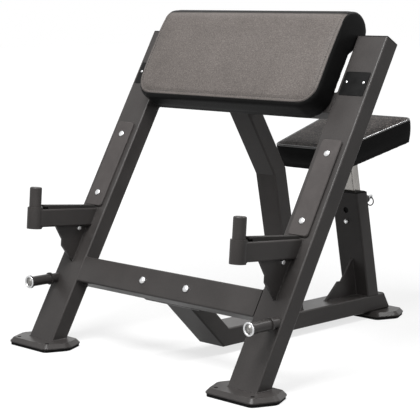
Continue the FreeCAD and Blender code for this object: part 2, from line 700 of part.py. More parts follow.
plunger = start("pin_plunger", behind)
tip = d.pin_engagement + half_depth - tube_y
collar = d.chamber_radius - d.collar_clearance
neck_end = d.housing_length + d.pin_clearance + d.pin_neck
revolve(plunger, [(zero, -tip), (d.plunger_radius, -tip), (d.plunger_radius, d.collar_clearance),
                  (collar, d.collar_clearance), (collar, d.plunger_collar),
                  (d.plunger_radius, d.plunger_collar), (d.plunger_radius, neck_end), (zero, neck_end)])
eye = rectangle(-d.eye_width / 2, -d.eye_height / 2, d.eye_width / 2, d.eye_height / 2)
pad(plunger, outline(plunger, "XY_Plane", eye, height=neck_end), d.eye_length)
eye_z = neck_end + d.eye_length / 2
pocket(plunger, circles(plunger, "YZ_Plane", d.eye_hole_radius, [(zero, eye_z)]))

ring_hook = post_frame(pin_z, half_depth + eye_z).Base
ring = doc.addObject("Part::Torus", "pull_ring")
ring.setExpression("Radius1", d.ring_radius.text)
ring.setExpression("Radius2", d.ring_wire.text)
hang = ring_hook - Vector(0, 0, d.ring_radius.value)
ring.Placement = Placement(hang, Rotation(tilt_axis, 90))
pieces.append(ring)


# Bar catches: arm, liner that stands over its rims, boss, horn, gusset and stud on each upright

def at_upright(drop):
    """Distance back to the upright's front plane, at a height across the arm."""
    return d.catch_reach + drop * tangent(arm_lean)


half_arm = d.arm_height / 2
groove_floor = half_arm - d.groove_depth
for side, sign in sides.items():
    frame = arm_frame(sign * upright_x, d.catch_height, d.catch_reach, d.catch_tilt)
    arm = start(f"{side}_catch_arm", frame)
    arm_view = [(zero, -half_arm), (at_upright(-half_arm), -half_arm), (at_upright(half_arm), half_arm),
                (zero, half_arm)]
    pad(arm, outline(arm, "YZ_Plane", arm_view), d.arm_width, both=True)
    dress(arm, "Fillet", d.tube_corner, along_y)
    groove = rectangle(-d.groove_width / 2, groove_floor, d.groove_width / 2, half_arm + d.groove_depth)
    pocket(arm, outline(arm, "XZ_Plane", groove))
    hollow = rectangle(d.arm_wall - d.arm_width / 2, d.arm_wall - half_arm, d.arm_width / 2 - d.arm_wall,
                       groove_floor - d.arm_wall)
    pocket(arm, outline(arm, "XZ_Plane", hollow))
    pocket(arm, circles(arm, "XY_Plane", d.boss_radius + d.weld_gap, [(zero, zero)]))

    liner = start(f"{side}_catch_liner", frame)
    liner_front = d.boss_radius + d.liner_gap
    liner_top = half_arm + d.liner_rise
    lead_top = half_arm + d.liner_lead
    lap_front = d.boss_radius + d.lap_clearance
    liner_view = [(liner_front, groove_floor), (at_upright(groove_floor), groove_floor),
                  (at_upright(liner_top) - d.liner_back, liner_top), (lap_front, lead_top),
                  (lap_front, lead_top - d.liner_lap), (liner_front, lead_top - d.liner_lap)]
    pad(liner, outline(liner, "YZ_Plane", liner_view), d.groove_width - d.liner_clearance * 2, both=True)

    boss = start(f"{side}_catch_boss", frame)
    half_boss = d.boss_height / 2
    bore = d.horn_radius + d.horn_clearance
    revolve(boss, rectangle(bore, -half_boss, d.boss_radius, half_boss))

    horn = start(f"{side}_catch_pin", frame)
    horn_top = half_boss + d.horn_rise
    revolve(horn, [(zero, -half_boss), (d.horn_radius, -half_boss), (d.horn_radius, horn_top - d.horn_round),
                   (d.horn_radius - d.horn_round, horn_top), (zero, horn_top)], {2: d.horn_round})

    web = start(f"{side}_catch_gusset", frame)
    under = -half_arm
    step_top = under - d.gusset_step_top
    web_view = [(d.gusset_nose, under), (d.gusset_step, step_top),
                (d.gusset_step, step_top - d.gusset_step_drop),
                (at_upright(under - d.gusset_drop), under - d.gusset_drop), (at_upright(under), under)]
    pad(web, outline(web, "YZ_Plane", web_view), d.gusset_thickness, both=True)

    stud_height = under - d.stud_drop
    pocket(web, circles(web, "YZ_Plane", screw_hole, [(d.stud_reach, stud_height)]))
    stud_place = frame.multVec(Vector(0, d.stud_reach.value, stud_height.value))
    stud = start(f"{side}_catch_stud", pointing(Placement(stud_place, frame.Rotation), Vector(1, 0, 0)))
    face = d.gusset_thickness / 2
    rim = face + d.stud_length - d.stud_round
    flat = face + d.stud_length
    crown = d.stud_radius - d.stud_round
    revolve(stud, [(zero, -flat), (crown, -flat), (d.stud_radius, -rim), (d.stud_radius, -face),
                   (d.screw_radius, -face), (d.screw_radius, face), (d.stud_radius, face),
                   (d.stud_radius, rim), (crown, flat), (zero, flat)], {1: d.stud_round, 7: d.stud_round})


# Storage pegs, level: neck, collar, tube and end flange in one, with a thin separate cap

peg_x = upright_x + d.peg_offset.value
for side, sign in sides.items():
    frame = arm_frame(sign * peg_x, d.peg_height, d.peg_reach, zero)
    peg = start(f"{side}_band_peg", pointing(frame, into_upright))
    skew = d.neck_radius * tangent(d.upright_lean)
    overrun = d.peg_reach + skew
    neck_front = d.peg_reach - d.neck_length
    collar_front = neck_front - d.collar_length
    flange_back = d.peg_cap_length + d.flange_length
    revolve(peg, [(zero, d.peg_cap_length), (d.peg_cap_radius, d.peg_cap_length),
                  (d.peg_cap_radius, flange_back), (d.peg_radius, flange_back), (d.peg_radius, collar_front),
                  (d.collar_radius, collar_front), (d.collar_radius, neck_front), (d.neck_radius, neck_front),
                  (d.neck_radius, overrun), (zero, overrun)])
    trim = [(-d.neck_radius * 2, d.peg_reach + skew * 2), (d.neck_radius * 2, d.peg_reach - skew * 2),
            (d.neck_radius * 2, overrun + skew * 2), (-d.neck_radius * 2, overrun + skew * 4)]
    pocket(peg, outline(peg, "YZ_Plane", trim))

    cap = start(f"{side}_peg_cap", pointing(frame, into_upright))
    revolve(cap, [(zero, d.peg_cap_length), (zero, zero), (d.peg_cap_radius - d.peg_cap_round, zero),
                  (d.peg_cap_radius, d.peg_cap_round), (d.peg_cap_radius, d.peg_cap_length)],
            {2: d.peg_cap_round})


# Wear guards with their bolts, and bare badge plates

half_guard, guard_half = d.guard_width / 2, d.guard_length / 2
guard_height = d.catch_height + half_arm / cosine(arm_lean) + d.guard_gap + guard_half
badge_height = (guard_height + guard_half + d.upright_length) / 2 + d.badge_shift
for side, sign in sides.items():
    guard = start(f"{side}_wear_guard", upright_frame(sign * upright_x, guard_height))
    pad(guard, outline(guard, "XZ_Plane", rectangle(-half_guard, -guard_half, half_guard, guard_half)),
        d.guard_thickness)
    dress(guard, "Fillet", d.guard_corner, along_y)
    guard_front = -d.guard_thickness.value
    dress(guard, "Chamfer", d.guard_bevel, lambda edge: max(v.Y for v in edge.Vertexes) < guard_front + hair)
    ends = {"lower": d.guard_bolt_inset - guard_half, "upper": guard_half - d.guard_bolt_inset}
    bolt_places = [(zero, along) for along in ends.values()]
    pocket(guard, circles(guard, "XZ_Plane", screw_hole, bolt_places))
    for place, along in ends.items():
        bolt_frame = upright_frame(sign * upright_x, guard_height + along, d.guard_thickness)
        dome_bolt(f"{side}_{place}_guard_bolt", pointing(bolt_frame, into_upright), d.guard_head_radius,
                  d.screw_head_height, d.screw_radius, d.guard_thickness)

    badge = start(f"{side}_badge_plate", upright_frame(sign * upright_x, badge_height))
    half_badge, badge_half = d.badge_width / 2, d.badge_length / 2
    pad(badge, outline(badge, "XZ_Plane", rectangle(-half_badge, -badge_half, half_badge, badge_half)),
        d.badge_thickness)
    dress(badge, "Fillet", d.badge_corner, along_y)


# Arm pad: crowned slab that runs into a thick roll along its top, on a board bolted to the upper bar

pad_bottom = upper_bar_height - d.pad_overhang
roll_height = pad_bottom + d.pad_length
pad_back_top = roll_height - d.roll_rise
roll_ahead = d.pad_thickness - d.roll_radius
crown_y = -(roll_ahead + d.roll_radius * cosine(d.pad_crown))
crown_z = roll_height + d.roll_radius * sine(d.pad_crown)
nose_y = d.pad_taper - d.pad_thickness
nose_z = pad_bottom + d.pad_undercut
run_y, run_z = nose_y - crown_y, nose_z - crown_z
crown_depth = run_y * cosine(d.pad_crown) - run_z * sine(d.pad_crown)
crown_radius = (run_y * run_y + run_z * run_z) / (crown_depth * 2)
back_y = -d.soft_clearance
roll_back = d.roll_radius - roll_ahead
pad_body = start("arm_pad", upright_frame())
profile = [(back_y, pad_bottom), (back_y, pad_back_top), (roll_back, roll_height),
           (-roll_ahead, roll_height + d.roll_radius), (crown_y, crown_z), (nose_y, nose_z)]
pad(pad_body, outline(pad_body, "YZ_Plane", profile, {2: d.roll_radius, 3: d.roll_radius, 4: crown_radius}),
    pad_width, both=True)
low_edge = (pad_bottom + d.pad_undercut).value


def pad_corner(edge):
    low = all(v.Z < low_edge + hair for v in edge.Vertexes)
    return low and straight(edge) and not along_x(edge)


def pad_rim(edge):
    middle = edge.valueAt((edge.FirstParameter + edge.LastParameter) / 2)
    bottom = along_x(edge) and middle.z < low_edge + hair
    return middle.y < nose_y.value / 2 and (bottom or not straight(edge))


dress(pad_body, "Fillet", d.pad_corner, pad_corner)
dress(pad_body, "Fillet", d.pad_edge, pad_rim)
board_low = pad_bottom + d.pad_board_margin
board_high = pad_back_top - d.pad_board_margin
gap = d.soft_clearance
recess = rectangle(-board_half - gap, board_low - gap, board_half + gap, board_high + gap)
pocket(pad_body, outline(pad_body, "XZ_Plane", recess), d.pad_board + gap, back=True)

pad_back = start("arm_pad_board", upright_frame())
board_view = outline(pad_back, "XZ_Plane", rectangle(-board_half, board_low, board_half, board_high))
pad(pad_back, board_view, d.pad_board)
board_holes = [(x, upper_bar_height) for x, _ in pad_bolts]
pocket(pad_back, circles(pad_back, "XZ_Plane", pad_bolt_hole, board_holes))
for side, sign in sides.items():
    behind_bar = upright_frame(pad_bolt_x.value * sign, upper_bar_height, -d.tube_depth)
    dome_bolt(f"{side}_pad_bolt", pointing(behind_bar, Vector(0, -1, 0)), d.pad_bolt_head,
              d.screw_head_height, d.pad_bolt_radius, d.tube_depth + d.pad_bolt_depth)


# Every object must be sound before anything is written

doc.recompute()
for thing in doc.Objects:
    if "Invalid" in thing.State or "Error" in thing.State:
        raise RuntimeError(f"{thing.Label}: {thing.State}")
for piece in pieces:
    if piece.Shape.isNull() or not piece.Shape.isValid() or len(piece.Shape.Solids) != 1:
        raise RuntimeError(f"{piece.Label}: its shape is not one sound solid")
os.makedirs("parts", exist_ok=True)
for piece in pieces:
    piece.Shape.exportStep(f"parts/{piece.Label}.step")
print(len(pieces), "pieces written")
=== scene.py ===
import math
import bmesh
import bpy
from mathutils import Matrix, Vector
from mathutils.bvhtree import BVHTree


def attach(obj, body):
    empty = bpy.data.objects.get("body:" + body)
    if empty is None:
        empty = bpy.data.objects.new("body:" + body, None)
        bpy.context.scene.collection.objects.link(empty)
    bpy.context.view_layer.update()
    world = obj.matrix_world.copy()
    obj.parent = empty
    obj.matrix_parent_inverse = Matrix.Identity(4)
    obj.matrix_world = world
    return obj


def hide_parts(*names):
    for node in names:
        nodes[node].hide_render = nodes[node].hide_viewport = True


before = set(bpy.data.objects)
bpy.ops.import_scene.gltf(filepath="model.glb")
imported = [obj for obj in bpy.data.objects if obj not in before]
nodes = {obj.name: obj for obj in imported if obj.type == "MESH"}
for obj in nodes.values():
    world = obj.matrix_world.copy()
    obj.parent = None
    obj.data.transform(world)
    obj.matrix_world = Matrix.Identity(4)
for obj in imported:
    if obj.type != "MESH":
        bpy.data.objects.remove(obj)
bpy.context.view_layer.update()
scene = bpy.context.scene
print("frame loaded:", len(nodes), "nodes")


# where the bench's own slanted frames stand, in metres and degrees
bench = {"frontY": -0.503, "footTop": 0.021, "uprightX": 0.392, "uprightLean": 30,
         "postFoot": (0, 0.4385, 0.071), "postLean": 11, "postLength": 0.331,
         "seatRise": 0.1135, "seatPlate": 0.005, "seatTilt": 14}


def leaning(origin, degrees):
    return Matrix.Translation(Vector(origin)) @ Matrix.Rotation(math.radians(degrees), 4, "X")


def uprightFrame(x):  # y runs back into the tube, z up along it
    return leaning((x, bench["frontY"], bench["footTop"]), -bench["uprightLean"])


postFrame = leaning(bench["postFoot"], bench["postLean"])
seatTurn = Matrix.Rotation(math.radians(bench["seatTilt"]), 4, "X")
seatRoot = postFrame @ Vector((0, 0, bench["postLength"] + bench["seatRise"]))
seatFrame = Matrix.Translation(seatRoot + seatTurn @ Vector((0, 0, bench["seatPlate"]))) @ seatTurn
middleFrame = uprightFrame(0)
sides = (-1, 1)


# materials

def linear(hexText):  # sRGB hex to linear colour
    parts = [int(hexText[i:i + 2], 16) / 255 for i in (1, 3, 5)]
    return tuple(p / 12.92 if p <= 0.04045 else ((p + 0.055) / 1.055) ** 2.4 for p in parts) + (1.0,)


def addNode(tree, kind, inputs=None, links=None, **settings):
    made = tree.nodes.new(kind)
    for name, value in settings.items():
        setattr(made, name, value)
    for key, value in (inputs or {}).items():
        made.inputs[key].default_value = value
    for key, source in (links or {}).items():
        tree.links.new(source, made.inputs[key])
    return made


def perMetre(millimetres):  # texture scale for a feature of that size
    return 1000 / millimetres


def startMaterial(name, surface):
    material = bpy.data.materials.new(name)
    material.use_nodes = True
    tree = material.node_tree
    shader = tree.nodes["Principled BSDF"]
    for key, value in surface.items():
        shader.inputs[key].default_value = value
    return material, tree, shader


# where most of a noise texture's values lie, and a tighter span for the grain
noiseSpan = (0.3, 0.7)
grainSpan = (0.32, 0.68)
white = "#ffffff"


def objectPlace(tree):
    return addNode(tree, "ShaderNodeTexCoord").outputs["Object"]


def drawnOut(tree, place, stretch, lean=0):
    # a texture's place, drawn out along a piece that leans by so many degrees
    inputs = {"Rotation": (math.radians(lean), 0, 0), "Scale": stretch}
    drawn = addNode(tree, "ShaderNodeMapping", inputs, {"Vector": place}, vector_type="TEXTURE")
    return drawn.outputs["Vector"]


def noise(tree, place, millimetres, inputs):
    scaled = {"Scale": perMetre(millimetres)} | inputs
    return addNode(tree, "ShaderNodeTexNoise", scaled, {"Vector": place}).outputs["Fac"]


def ramp(tree, value, stops):
    stops = list(stops)
    made = addNode(tree, "ShaderNodeValToRGB", links={"Fac": value})
    elements = made.color_ramp.elements
    while len(elements) < len(stops):
        elements.new(0.5)
    for element, (place, colour) in zip(elements, stops):
        element.position = place
        element.color = linear(colour)
    return made.outputs["Color"]


def multiplied(tree, first, second):
    return addNode(tree, "ShaderNodeMix", {0: 1.0}, {6: first, 7: second}, data_type="RGBA",
                   blend_type="MULTIPLY").outputs[2]


def ranged(tree, value, given, wanted):
    limits = {"From Min": given[0], "From Max": given[1], "To Min": wanted[0], "To Max": wanted[1]}
    return addNode(tree, "ShaderNodeMapRange", limits, {"Value": value}).outputs["Result"]


def reckon(tree, operation, *values):
    # one step of arithmetic on sockets and numbers
    made = addNode(tree, "ShaderNodeMath", operation=operation)
    for index, value in enumerate(values):
        if isinstance(value, (int, float)):
            made.inputs[index].default_value = value
        else:
            tree.links.new(value, made.inputs[index])
    return made.outputs["Value"]


def dress(tree, shader, colour, rough, height, look):
    # joins colour, roughness and relief to the shader
    relief = addNode(tree, "ShaderNodeBump", {"Strength": look["bump"], "Distance": look["bumpMm"] / 1000},
                     {"Height": height})
    tree.links.new(colour, shader.inputs["Base Color"])
    tree.links.new(rough, shader.inputs["Roughness"])
    tree.links.new(relief.outputs["Normal"], shader.inputs["Normal"])


def grainedFinish(name, look):
    # two-tone grain, slow patches of tone, roughness that wanders, and the grain as a bump
    material, tree, shader = startMaterial(name, look["surface"])
    place = objectPlace(tree)
    if "stretch" in look:  # drawn out lengthwise, as polishing leaves it
        place = drawnOut(tree, place, look["stretch"], -bench["uprightLean"])
    grain = noise(tree, place, look["grainMm"], {"Detail": 3.0, "Roughness": 0.65})
    patch = noise(tree, place, look["patchMm"], {"Detail": 2.0})
    tone = ramp(tree, grain, zip(grainSpan, (look["dark"], look["light"])))
    shade = ramp(tree, patch, zip(noiseSpan, (look["patchTone"], white)))
    rough = ranged(tree, patch, noiseSpan, look["rough"])
    dress(tree, shader, multiplied(tree, tone, shade), rough, grain, look)
    return material


# fine-textured polyester powder coat on steel: warm charcoal, a soft satin gleam on the tube corners
# (its grain is about 0.5 mm, drawn at 2 mm so that it shows)
framePaint = grainedFinish("powderCoatCharcoal", {
    "surface": {"IOR": 1.5, "Specular IOR Level": 0.22}, "grainMm": 2.0, "patchMm": 90, "dark": "#353332",
    "light": "#403d3c", "patchTone": "#e8e8e8", "rough": (0.3, 0.38), "bump": 0.1, "bumpMm": 0.3})
# moulded polyethylene wear strip: paler than the paint and dull
guardPlastic = grainedFinish("polyethyleneWearStrip", {
    "surface": {"IOR": 1.51, "Specular IOR Level": 0.12}, "grainMm": 1.6, "patchMm": 40, "dark": "#484544",
    "light": "#504c4b", "patchTone": "#e4e4e4", "rough": (0.5, 0.68), "bump": 0.1, "bumpMm": 0.3})
# moulded rubber wear strip on the catches: dark grey and dull
linerRubber = grainedFinish("nitrileRubberLiner", {
    "surface": {"IOR": 1.52, "Specular IOR Level": 0.1}, "grainMm": 1.5, "patchMm": 30, "dark": "#2e2d2c",
    "light": "#3a3837", "patchTone": "#dcdcdc", "rough": (0.62, 0.8), "bump": 0.2, "bumpMm": 0.3})
# moulded rubber under the feet: near black and dull
footRubber = grainedFinish("mouldedFootRubber", {
    "surface": {"IOR": 1.52, "Specular IOR Level": 0.08}, "grainMm": 2.2, "patchMm": 45, "dark": "#161616",
    "light": "#232222", "patchTone": "#d6d6d6", "rough": (0.65, 0.85), "bump": 0.25, "bumpMm": 0.4})
# moulded glass-filled nylon: black, half dull
nylon = grainedFinish("nylonBlack", {
    "surface": {"IOR": 1.53, "Specular IOR Level": 0.06}, "grainMm": 1.2, "patchMm": 25, "dark": "#0c0c0c",
    "light": "#141414", "patchTone": "#e0e0e0", "rough": (0.38, 0.5), "bump": 0.1, "bumpMm": 0.2})
# stove-enamelled sheet: black, smooth and slightly glossy
badgePaint = grainedFinish("stoveEnamelBlack", {
    "surface": {"IOR": 1.5, "Specular IOR Level": 0.1}, "grainMm": 1.4, "patchMm": 20,
    "dark": "#101010", "light": "#181818", "patchTone": "#e6e6e6", "rough": (0.3, 0.4), "bump": 0.05,
    "bumpMm": 0.15})
# bright zinc-plated steel: pale and slightly blue, fine spangle
zinc = grainedFinish("zincPlatedSteel", {
    "surface": {"Metallic": 1.0}, "grainMm": 1.2, "patchMm": 9, "dark": "#d5d6d8", "light": "#f2f2f2",
    "patchTone": "#efefef", "rough": (0.22, 0.34), "bump": 0.05, "bumpMm": 0.1})
# the same plating, painted darker as shade in the recess of the peg caps
recessShadeZinc = grainedFinish("zincWithPaintedRecessShade", {
    "surface": {"Metallic": 1.0}, "grainMm": 1.2, "patchMm": 9, "dark": "#8b8a88", "light": "#a5a4a1",
    "patchTone": "#e6e6e6", "rough": (0.3, 0.42), "bump": 0.05, "bumpMm": 0.1})
# satin chrome on steel tube: soft grey mirror, polished along its length
chrome = grainedFinish("satinChrome", {
    "surface": {"Metallic": 1.0}, "grainMm": 0.9, "patchMm": 16, "dark": "#a6a39f", "light": "#bcb9b5",
    "patchTone": "#eeeeee", "rough": (0.16, 0.26), "bump": 0.04, "bumpMm": 0.08, "stretch": (1.0, 1.0, 14.0)})
# black-passivated zinc on the pull pin's wire ring: dark grey metal with a soft gleam
blackZinc = grainedFinish("blackZincSteel", {
    "surface": {"Metallic": 1.0}, "grainMm": 1.0, "patchMm": 8, "dark": "#2f2f30", "light": "#434344",
    "patchTone": "#e6e6e6", "rough": (0.3, 0.42), "bump": 0.05, "bumpMm": 0.1})
# thread, black polyester
threadBlack = grainedFinish("polyesterThread", {
    "surface": {"IOR": 1.5, "Specular IOR Level": 0.3, "Sheen Weight": 0.3}, "grainMm": 0.8, "patchMm": 12,
    "dark": "#1c1b1b", "light": "#2a2928", "patchTone": "#e0e0e0", "rough": (0.6, 0.75), "bump": 0.2,
    "bumpMm": 0.2})
# cord round the arm pad's face panel, in a darker grey than the panel
padCord = grainedFinish("vinylCordGrey", {
    "surface": {"IOR": 1.52, "Specular IOR Level": 0.2}, "grainMm": 1.4, "patchMm": 20, "dark": "#34312f",
    "light": "#45413f", "patchTone": "#e8e8e8", "rough": (0.35, 0.45), "bump": 0.03, "bumpMm": 0.1})
# extruded vinyl welt of the seat: black and shiny
weltVinyl = grainedFinish("vinylWelt", {
    "surface": {"IOR": 1.52, "Specular IOR Level": 1.0}, "grainMm": 1.4, "patchMm": 20, "dark": "#161515",
    "light": "#201f1e", "patchTone": "#e8e8e8", "rough": (0.2, 0.26), "bump": 0.02, "bumpMm": 0.1})


def plywoodFinish(name, look):
    # birch plywood: long grain lines and pores
    material, tree, shader = startMaterial(name, look["surface"])
    rings = noise(tree, drawnOut(tree, objectPlace(tree), look["stretch"]), look["ringMm"],
                  {"Detail": 4.0, "Distortion": 0.6})
    rough = ranged(tree, rings, (0, 1), look["rough"])
    dress(tree, shader, ramp(tree, rings, look["tones"]), rough, rings, look)
    return material


boardWood = plywoodFinish("birchPlywood", {
    "surface": {"IOR": 1.5, "Specular IOR Level": 0.3}, "ringMm": 5.0, "stretch": (14.0, 1.0, 1.0),
    "tones": ((0.3, "#7d6142"), (0.52, "#a5855d"), (0.7, "#b99a72")), "rough": (0.55, 0.75), "bump": 0.2,
    "bumpMm": 0.3})


def dotAlong(tree, place, origin, axis):
    # distance of a point from an origin along an axis, as a socket
    shifted = addNode(tree, "ShaderNodeVectorMath", {1: origin}, {0: place}, operation="SUBTRACT")
    return addNode(tree, "ShaderNodeVectorMath", {1: axis}, {0: shifted.outputs["Vector"]},
                   operation="DOT_PRODUCT").outputs["Value"]


def stepUp(tree, value, edge, soft=0.0006):
    # 0 below an edge and 1 above it
    return addNode(tree, "ShaderNodeMapRange", {"From Min": edge - soft, "From Max": edge + soft},
                   {"Value": value}, interpolation_type="SMOOTHSTEP").outputs["Result"]


def speckledVinyl(name, look, faceMask):
    # embossed upholstery vinyl: speckled face panel, plain black side panels, pebble grain on both
    material, tree, shader = startMaterial(name, look["surface"])
    place = objectPlace(tree)
    speck = noise(tree, place, look["speckMm"], {"Detail": 2.0, "Roughness": 0.7})
    cloud = noise(tree, place, look["cloudMm"], {"Detail": 3.0})
    pebble = addNode(tree, "ShaderNodeTexVoronoi", {"Scale": perMetre(look["pebbleMm"])}, {"Vector": place})
    haze = ramp(tree, cloud, zip(noiseSpan, (look["hazeTone"], white)))
    face = multiplied(tree, ramp(tree, speck, look["face"]), haze)
    side = ramp(tree, speck, look["side"])
    colour = addNode(tree, "ShaderNodeMix", links={0: faceMask(tree, place), 6: side, 7: face},
                     data_type="RGBA")
    rough = ranged(tree, speck, noiseSpan, look["rough"])
    height = reckon(tree, "MULTIPLY", pebble.outputs["Distance"], speck)
    dress(tree, shader, colour.outputs[2], rough, height, look)
    return material


# arm pad: outline of its face panel on the upright's slanted frame
# not all of this is sewn: it also holds the angle over the roll where painted shade darkens its top, and the
# soft edge of that shade
padFace = {"halfWidth": 0.3352, "corner": 0.054, "low": 0.7505, "rollAhead": 0.013, "rollHeight": 0.987,
           "rollRadius": 0.052, "rollShadeStart": 30, "rollShadeFade": 0.006, "weltEnd": 150, "depth": 0.03,
           "stitchInset": 0.009, "backDrop": 0.06}


def padFaceMask(tree, place):
    # inside a rounded outline, in front of the back, and below the top of the roll, where painted shade in
    # the near-black side colour begins
    across = middleFrame.to_3x3() @ Vector((1, 0, 0))
    up = middleFrame.to_3x3() @ Vector((0, 0, 1))
    ahead = middleFrame.to_3x3() @ Vector((0, -1, 0))
    # the angle over the roll past which its top is painted dark as shade; the face panel itself runs on to
    # the welt's end
    seam = math.radians(padFace["rollShadeStart"])
    rollAxis = middleFrame @ Vector((0, -padFace["rollAhead"], padFace["rollHeight"]))
    overRoll = up * math.cos(seam) - ahead * math.sin(seam)
    root = middleFrame.translation
    corner = padFace["corner"]
    x = reckon(tree, "ABSOLUTE", dotAlong(tree, place, root, across))
    dx = reckon(tree, "SUBTRACT", x, padFace["halfWidth"] - corner)
    dz = reckon(tree, "SUBTRACT", padFace["low"] + corner, dotAlong(tree, place, root, up))
    pair = addNode(tree, "ShaderNodeCombineXYZ", links={0: reckon(tree, "MAXIMUM", dx, 0.0),
                                                        1: reckon(tree, "MAXIMUM", dz, 0.0)})
    gap = addNode(tree, "ShaderNodeVectorMath", links={0: pair.outputs["Vector"]}, operation="LENGTH")
    outside = stepUp(tree, gap.outputs["Value"], corner)
    # painted shade: past that angle the roll's top takes the near-black side colour, faded in over 6 mm
    paintedRollShade = stepUp(tree, dotAlong(tree, place, rollAxis, overRoll), 0.0, padFace["rollShadeFade"])
    front = stepUp(tree, dotAlong(tree, place, root, ahead), padFace["depth"])
    inside = reckon(tree, "SUBTRACT", 1.0, outside)
    before = reckon(tree, "SUBTRACT", 1.0, paintedRollShade)
    return reckon(tree, "MULTIPLY", reckon(tree, "MULTIPLY", inside, before), front)


# seat: height of its top seam over the board, and its outline in plan
seatTop = {"seam": 0.0695, "frontHalf": 0.1205, "rearHalf": 0.157, "frontReach": 0.167, "rearReach": 0.146,
           "corner": 0.016}


def seatFaceMask(tree, place):
    up = seatFrame.to_3x3() @ Vector((0, 0, 1))
    return stepUp(tree, dotAlong(tree, place, seatFrame.translation, up), seatTop["seam"])


# embossed vinyl on foam: the speckle is 1 to 2 mm in real vinyl, drawn at 3 to 5 mm so that it shows
padVinyl = speckledVinyl("speckledVinylGrey", {
    "surface": {"IOR": 1.52, "Specular IOR Level": 0.08},
    "speckMm": 3.0, "cloudMm": 120, "pebbleMm": 3.5, "hazeTone": "#ededed",
    "face": ((0.3, "#4c4846"), (0.5, "#5e5956"), (0.72, "#726c69")),
    "side": ((0.3, "#070707"), (0.7, "#0d0d0d")), "rough": (0.42, 0.56), "bump": 0.2, "bumpMm": 0.5},
    padFaceMask)
seatVinyl = speckledVinyl("speckledVinylDark", {
    "surface": {"IOR": 1.52, "Specular IOR Level": 0.06},
    "speckMm": 5.0, "cloudMm": 60, "pebbleMm": 3.5, "hazeTone": "#d4d4d4",
    "face": ((0.38, "#0f0e0e"), (0.5, "#282524"), (0.62, "#5f5956")),
    "side": ((0.3, "#070707"), (0.7, "#0d0d0d")), "rough": (0.42, 0.56), "bump": 0.35, "bumpMm": 0.6},
    seatFaceMask)
print("materials made")

# which finish each carried-over node takes
finishes = {
    framePaint: ("foot_plate", "upright", "crossbar", "crossmember", "flange", "base_tube", "end_cap",
                 "spine_tube", "rear_post", "gusset", "arm", "boss", "catch_pin", "peg", "seat_plate",
                 "housing"),
    guardPlastic: ("wear_guard",), linerRubber: ("liner",), footRubber: ("foot_rubber",),
    nylon: ("post_guide", "upright_cap"), badgePaint: ("badge_plate",), blackZinc: ("ring",),
    zinc: ("bolt", "nut", "screw", "stud", "peg_cap", "plunger"), chrome: ("seat_tube",),
    boardWood: ("board",), padVinyl: ("arm_pad",), seatVinyl: ("seat_cushion",)}


def finishOf(name):
    # the longest matching ending wins, so that no short word takes a longer one's place
    found = [(len(word), finish) for finish, words in finishes.items() for word in words
             if name.endswith(word)]
    return max(found, key=lambda pair: pair[0])[1]


for name, node in nodes.items():
    node.data.materials.clear()
    node.data.materials.append(finishOf(name))


# piece helpers

def asPiece(name, mesh, body, material=None):
    piece = bpy.data.objects.new(name, mesh)
    scene.collection.objects.link(piece)
    if material is not None:
        mesh.materials.clear()
        mesh.materials.append(material)
    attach(piece, body)
    return piece


def evaluatedMesh(thing):
    graph = bpy.context.evaluated_depsgraph_get()
    graph.update()
    return bpy.data.meshes.new_from_object(thing.evaluated_get(graph))


def smoothFaces(mesh):
    mesh.polygons.foreach_set("use_smooth", [True] * len(mesh.polygons))


# padded pieces: the solid is copied, remeshed, drawn in a little and blown up again as cloth

mergeGap = {"skin": 1e-5, "turned": 1e-6}  # vertices nearer than this are one
smoothShare = 0.5  # how far a round of smoothing moves a vertex towards its neighbours


def mergedCopy(nodeName):
    # a node's mesh as one joined skin
    mesh = nodes[nodeName].data.copy()
    mesh.materials.clear()
    joined = bmesh.new()
    joined.from_mesh(mesh)
    bmesh.ops.remove_doubles(joined, verts=joined.verts, dist=mergeGap["skin"])
    bmesh.ops.recalc_face_normals(joined, faces=joined.faces)
    joined.to_mesh(mesh)
    joined.free()
    return mesh


def evened(edges, values, rounds):
    # spreads a value over neighbouring vertices
    for _ in range(rounds):
        total, count = list(values), [1] * len(values)
        for first, second in edges:
            total[first] += values[second]
            total[second] += values[first]
            count[first] += 1
            count[second] += 1
        values = [t / c for t, c in zip(total, count)]
    return values


def evenSkin(nodeName, name, look, keepBack, backPlace):
    # the solid's skin in small even faces
    solid = bpy.data.objects.new(name + "Solid", mergedCopy(nodeName))
    work = bpy.data.objects.new(name + "Work", solid.data.copy())
    for thing in (solid, work):
        scene.collection.objects.link(thing)
    remesh = work.modifiers.new("voxels", "REMESH")
    remesh.mode = "VOXEL"
    remesh.voxel_size = look["voxel"]
    soften = work.modifiers.new("soften", "SMOOTH")
    soften.factor = smoothShare
    soften.iterations = look["soften"]
    laid = work.modifiers.new("laid", "SHRINKWRAP")
    laid.target = solid
    even = evaluatedMesh(work)
    work.modifiers.clear()
    work.data = even
    # skin near the flat back is laid on it, so that its edge runs straight
    origin, outward = backPlace
    reach = max((v.co - origin).dot(outward) for v in solid.data.vertices if keepBack(v.co))
    for vertex in even.vertices:
        gap = reach - (vertex.co - origin).dot(outward)
        if keepBack(vertex.co) and 0 < gap < look["settle"]:
            vertex.co += outward * gap
    bpy.data.objects.remove(solid)
    return work


def blownRise(work, name, look, normals):
    # how far the filling's pressure lifts each vertex of the cloth
    rest = [v.co.copy() for v in work.data.vertices]
    cloth = work.modifiers.new("fill", "CLOTH")
    cloth.settings.use_pressure = True
    cloth.settings.uniform_pressure_force = look["pressure"]
    cloth.settings.effector_weights.gravity = 0
    cloth.settings.vertex_group_mass = "held"
    cloth.settings.tension_stiffness = look["stiffness"]
    cloth.settings.compression_stiffness = look["stiffness"]
    cloth.settings.bending_stiffness = look["bending"]
    cloth.point_cache.frame_start = 1
    cloth.point_cache.frame_end = look["frames"]
    for number in range(1, look["frames"] + 1):
        scene.frame_set(number)
    blown = evaluatedMesh(work)
    rises = [(v.co - co).dot(n) for v, co, n in zip(blown.vertices, rest, normals)]
    print(name, "swelled", round(max(rises) * 1000, 1), "mm at most")
    bpy.data.meshes.remove(blown)
    work.modifiers.clear()
    scene.frame_set(1)
    return rises


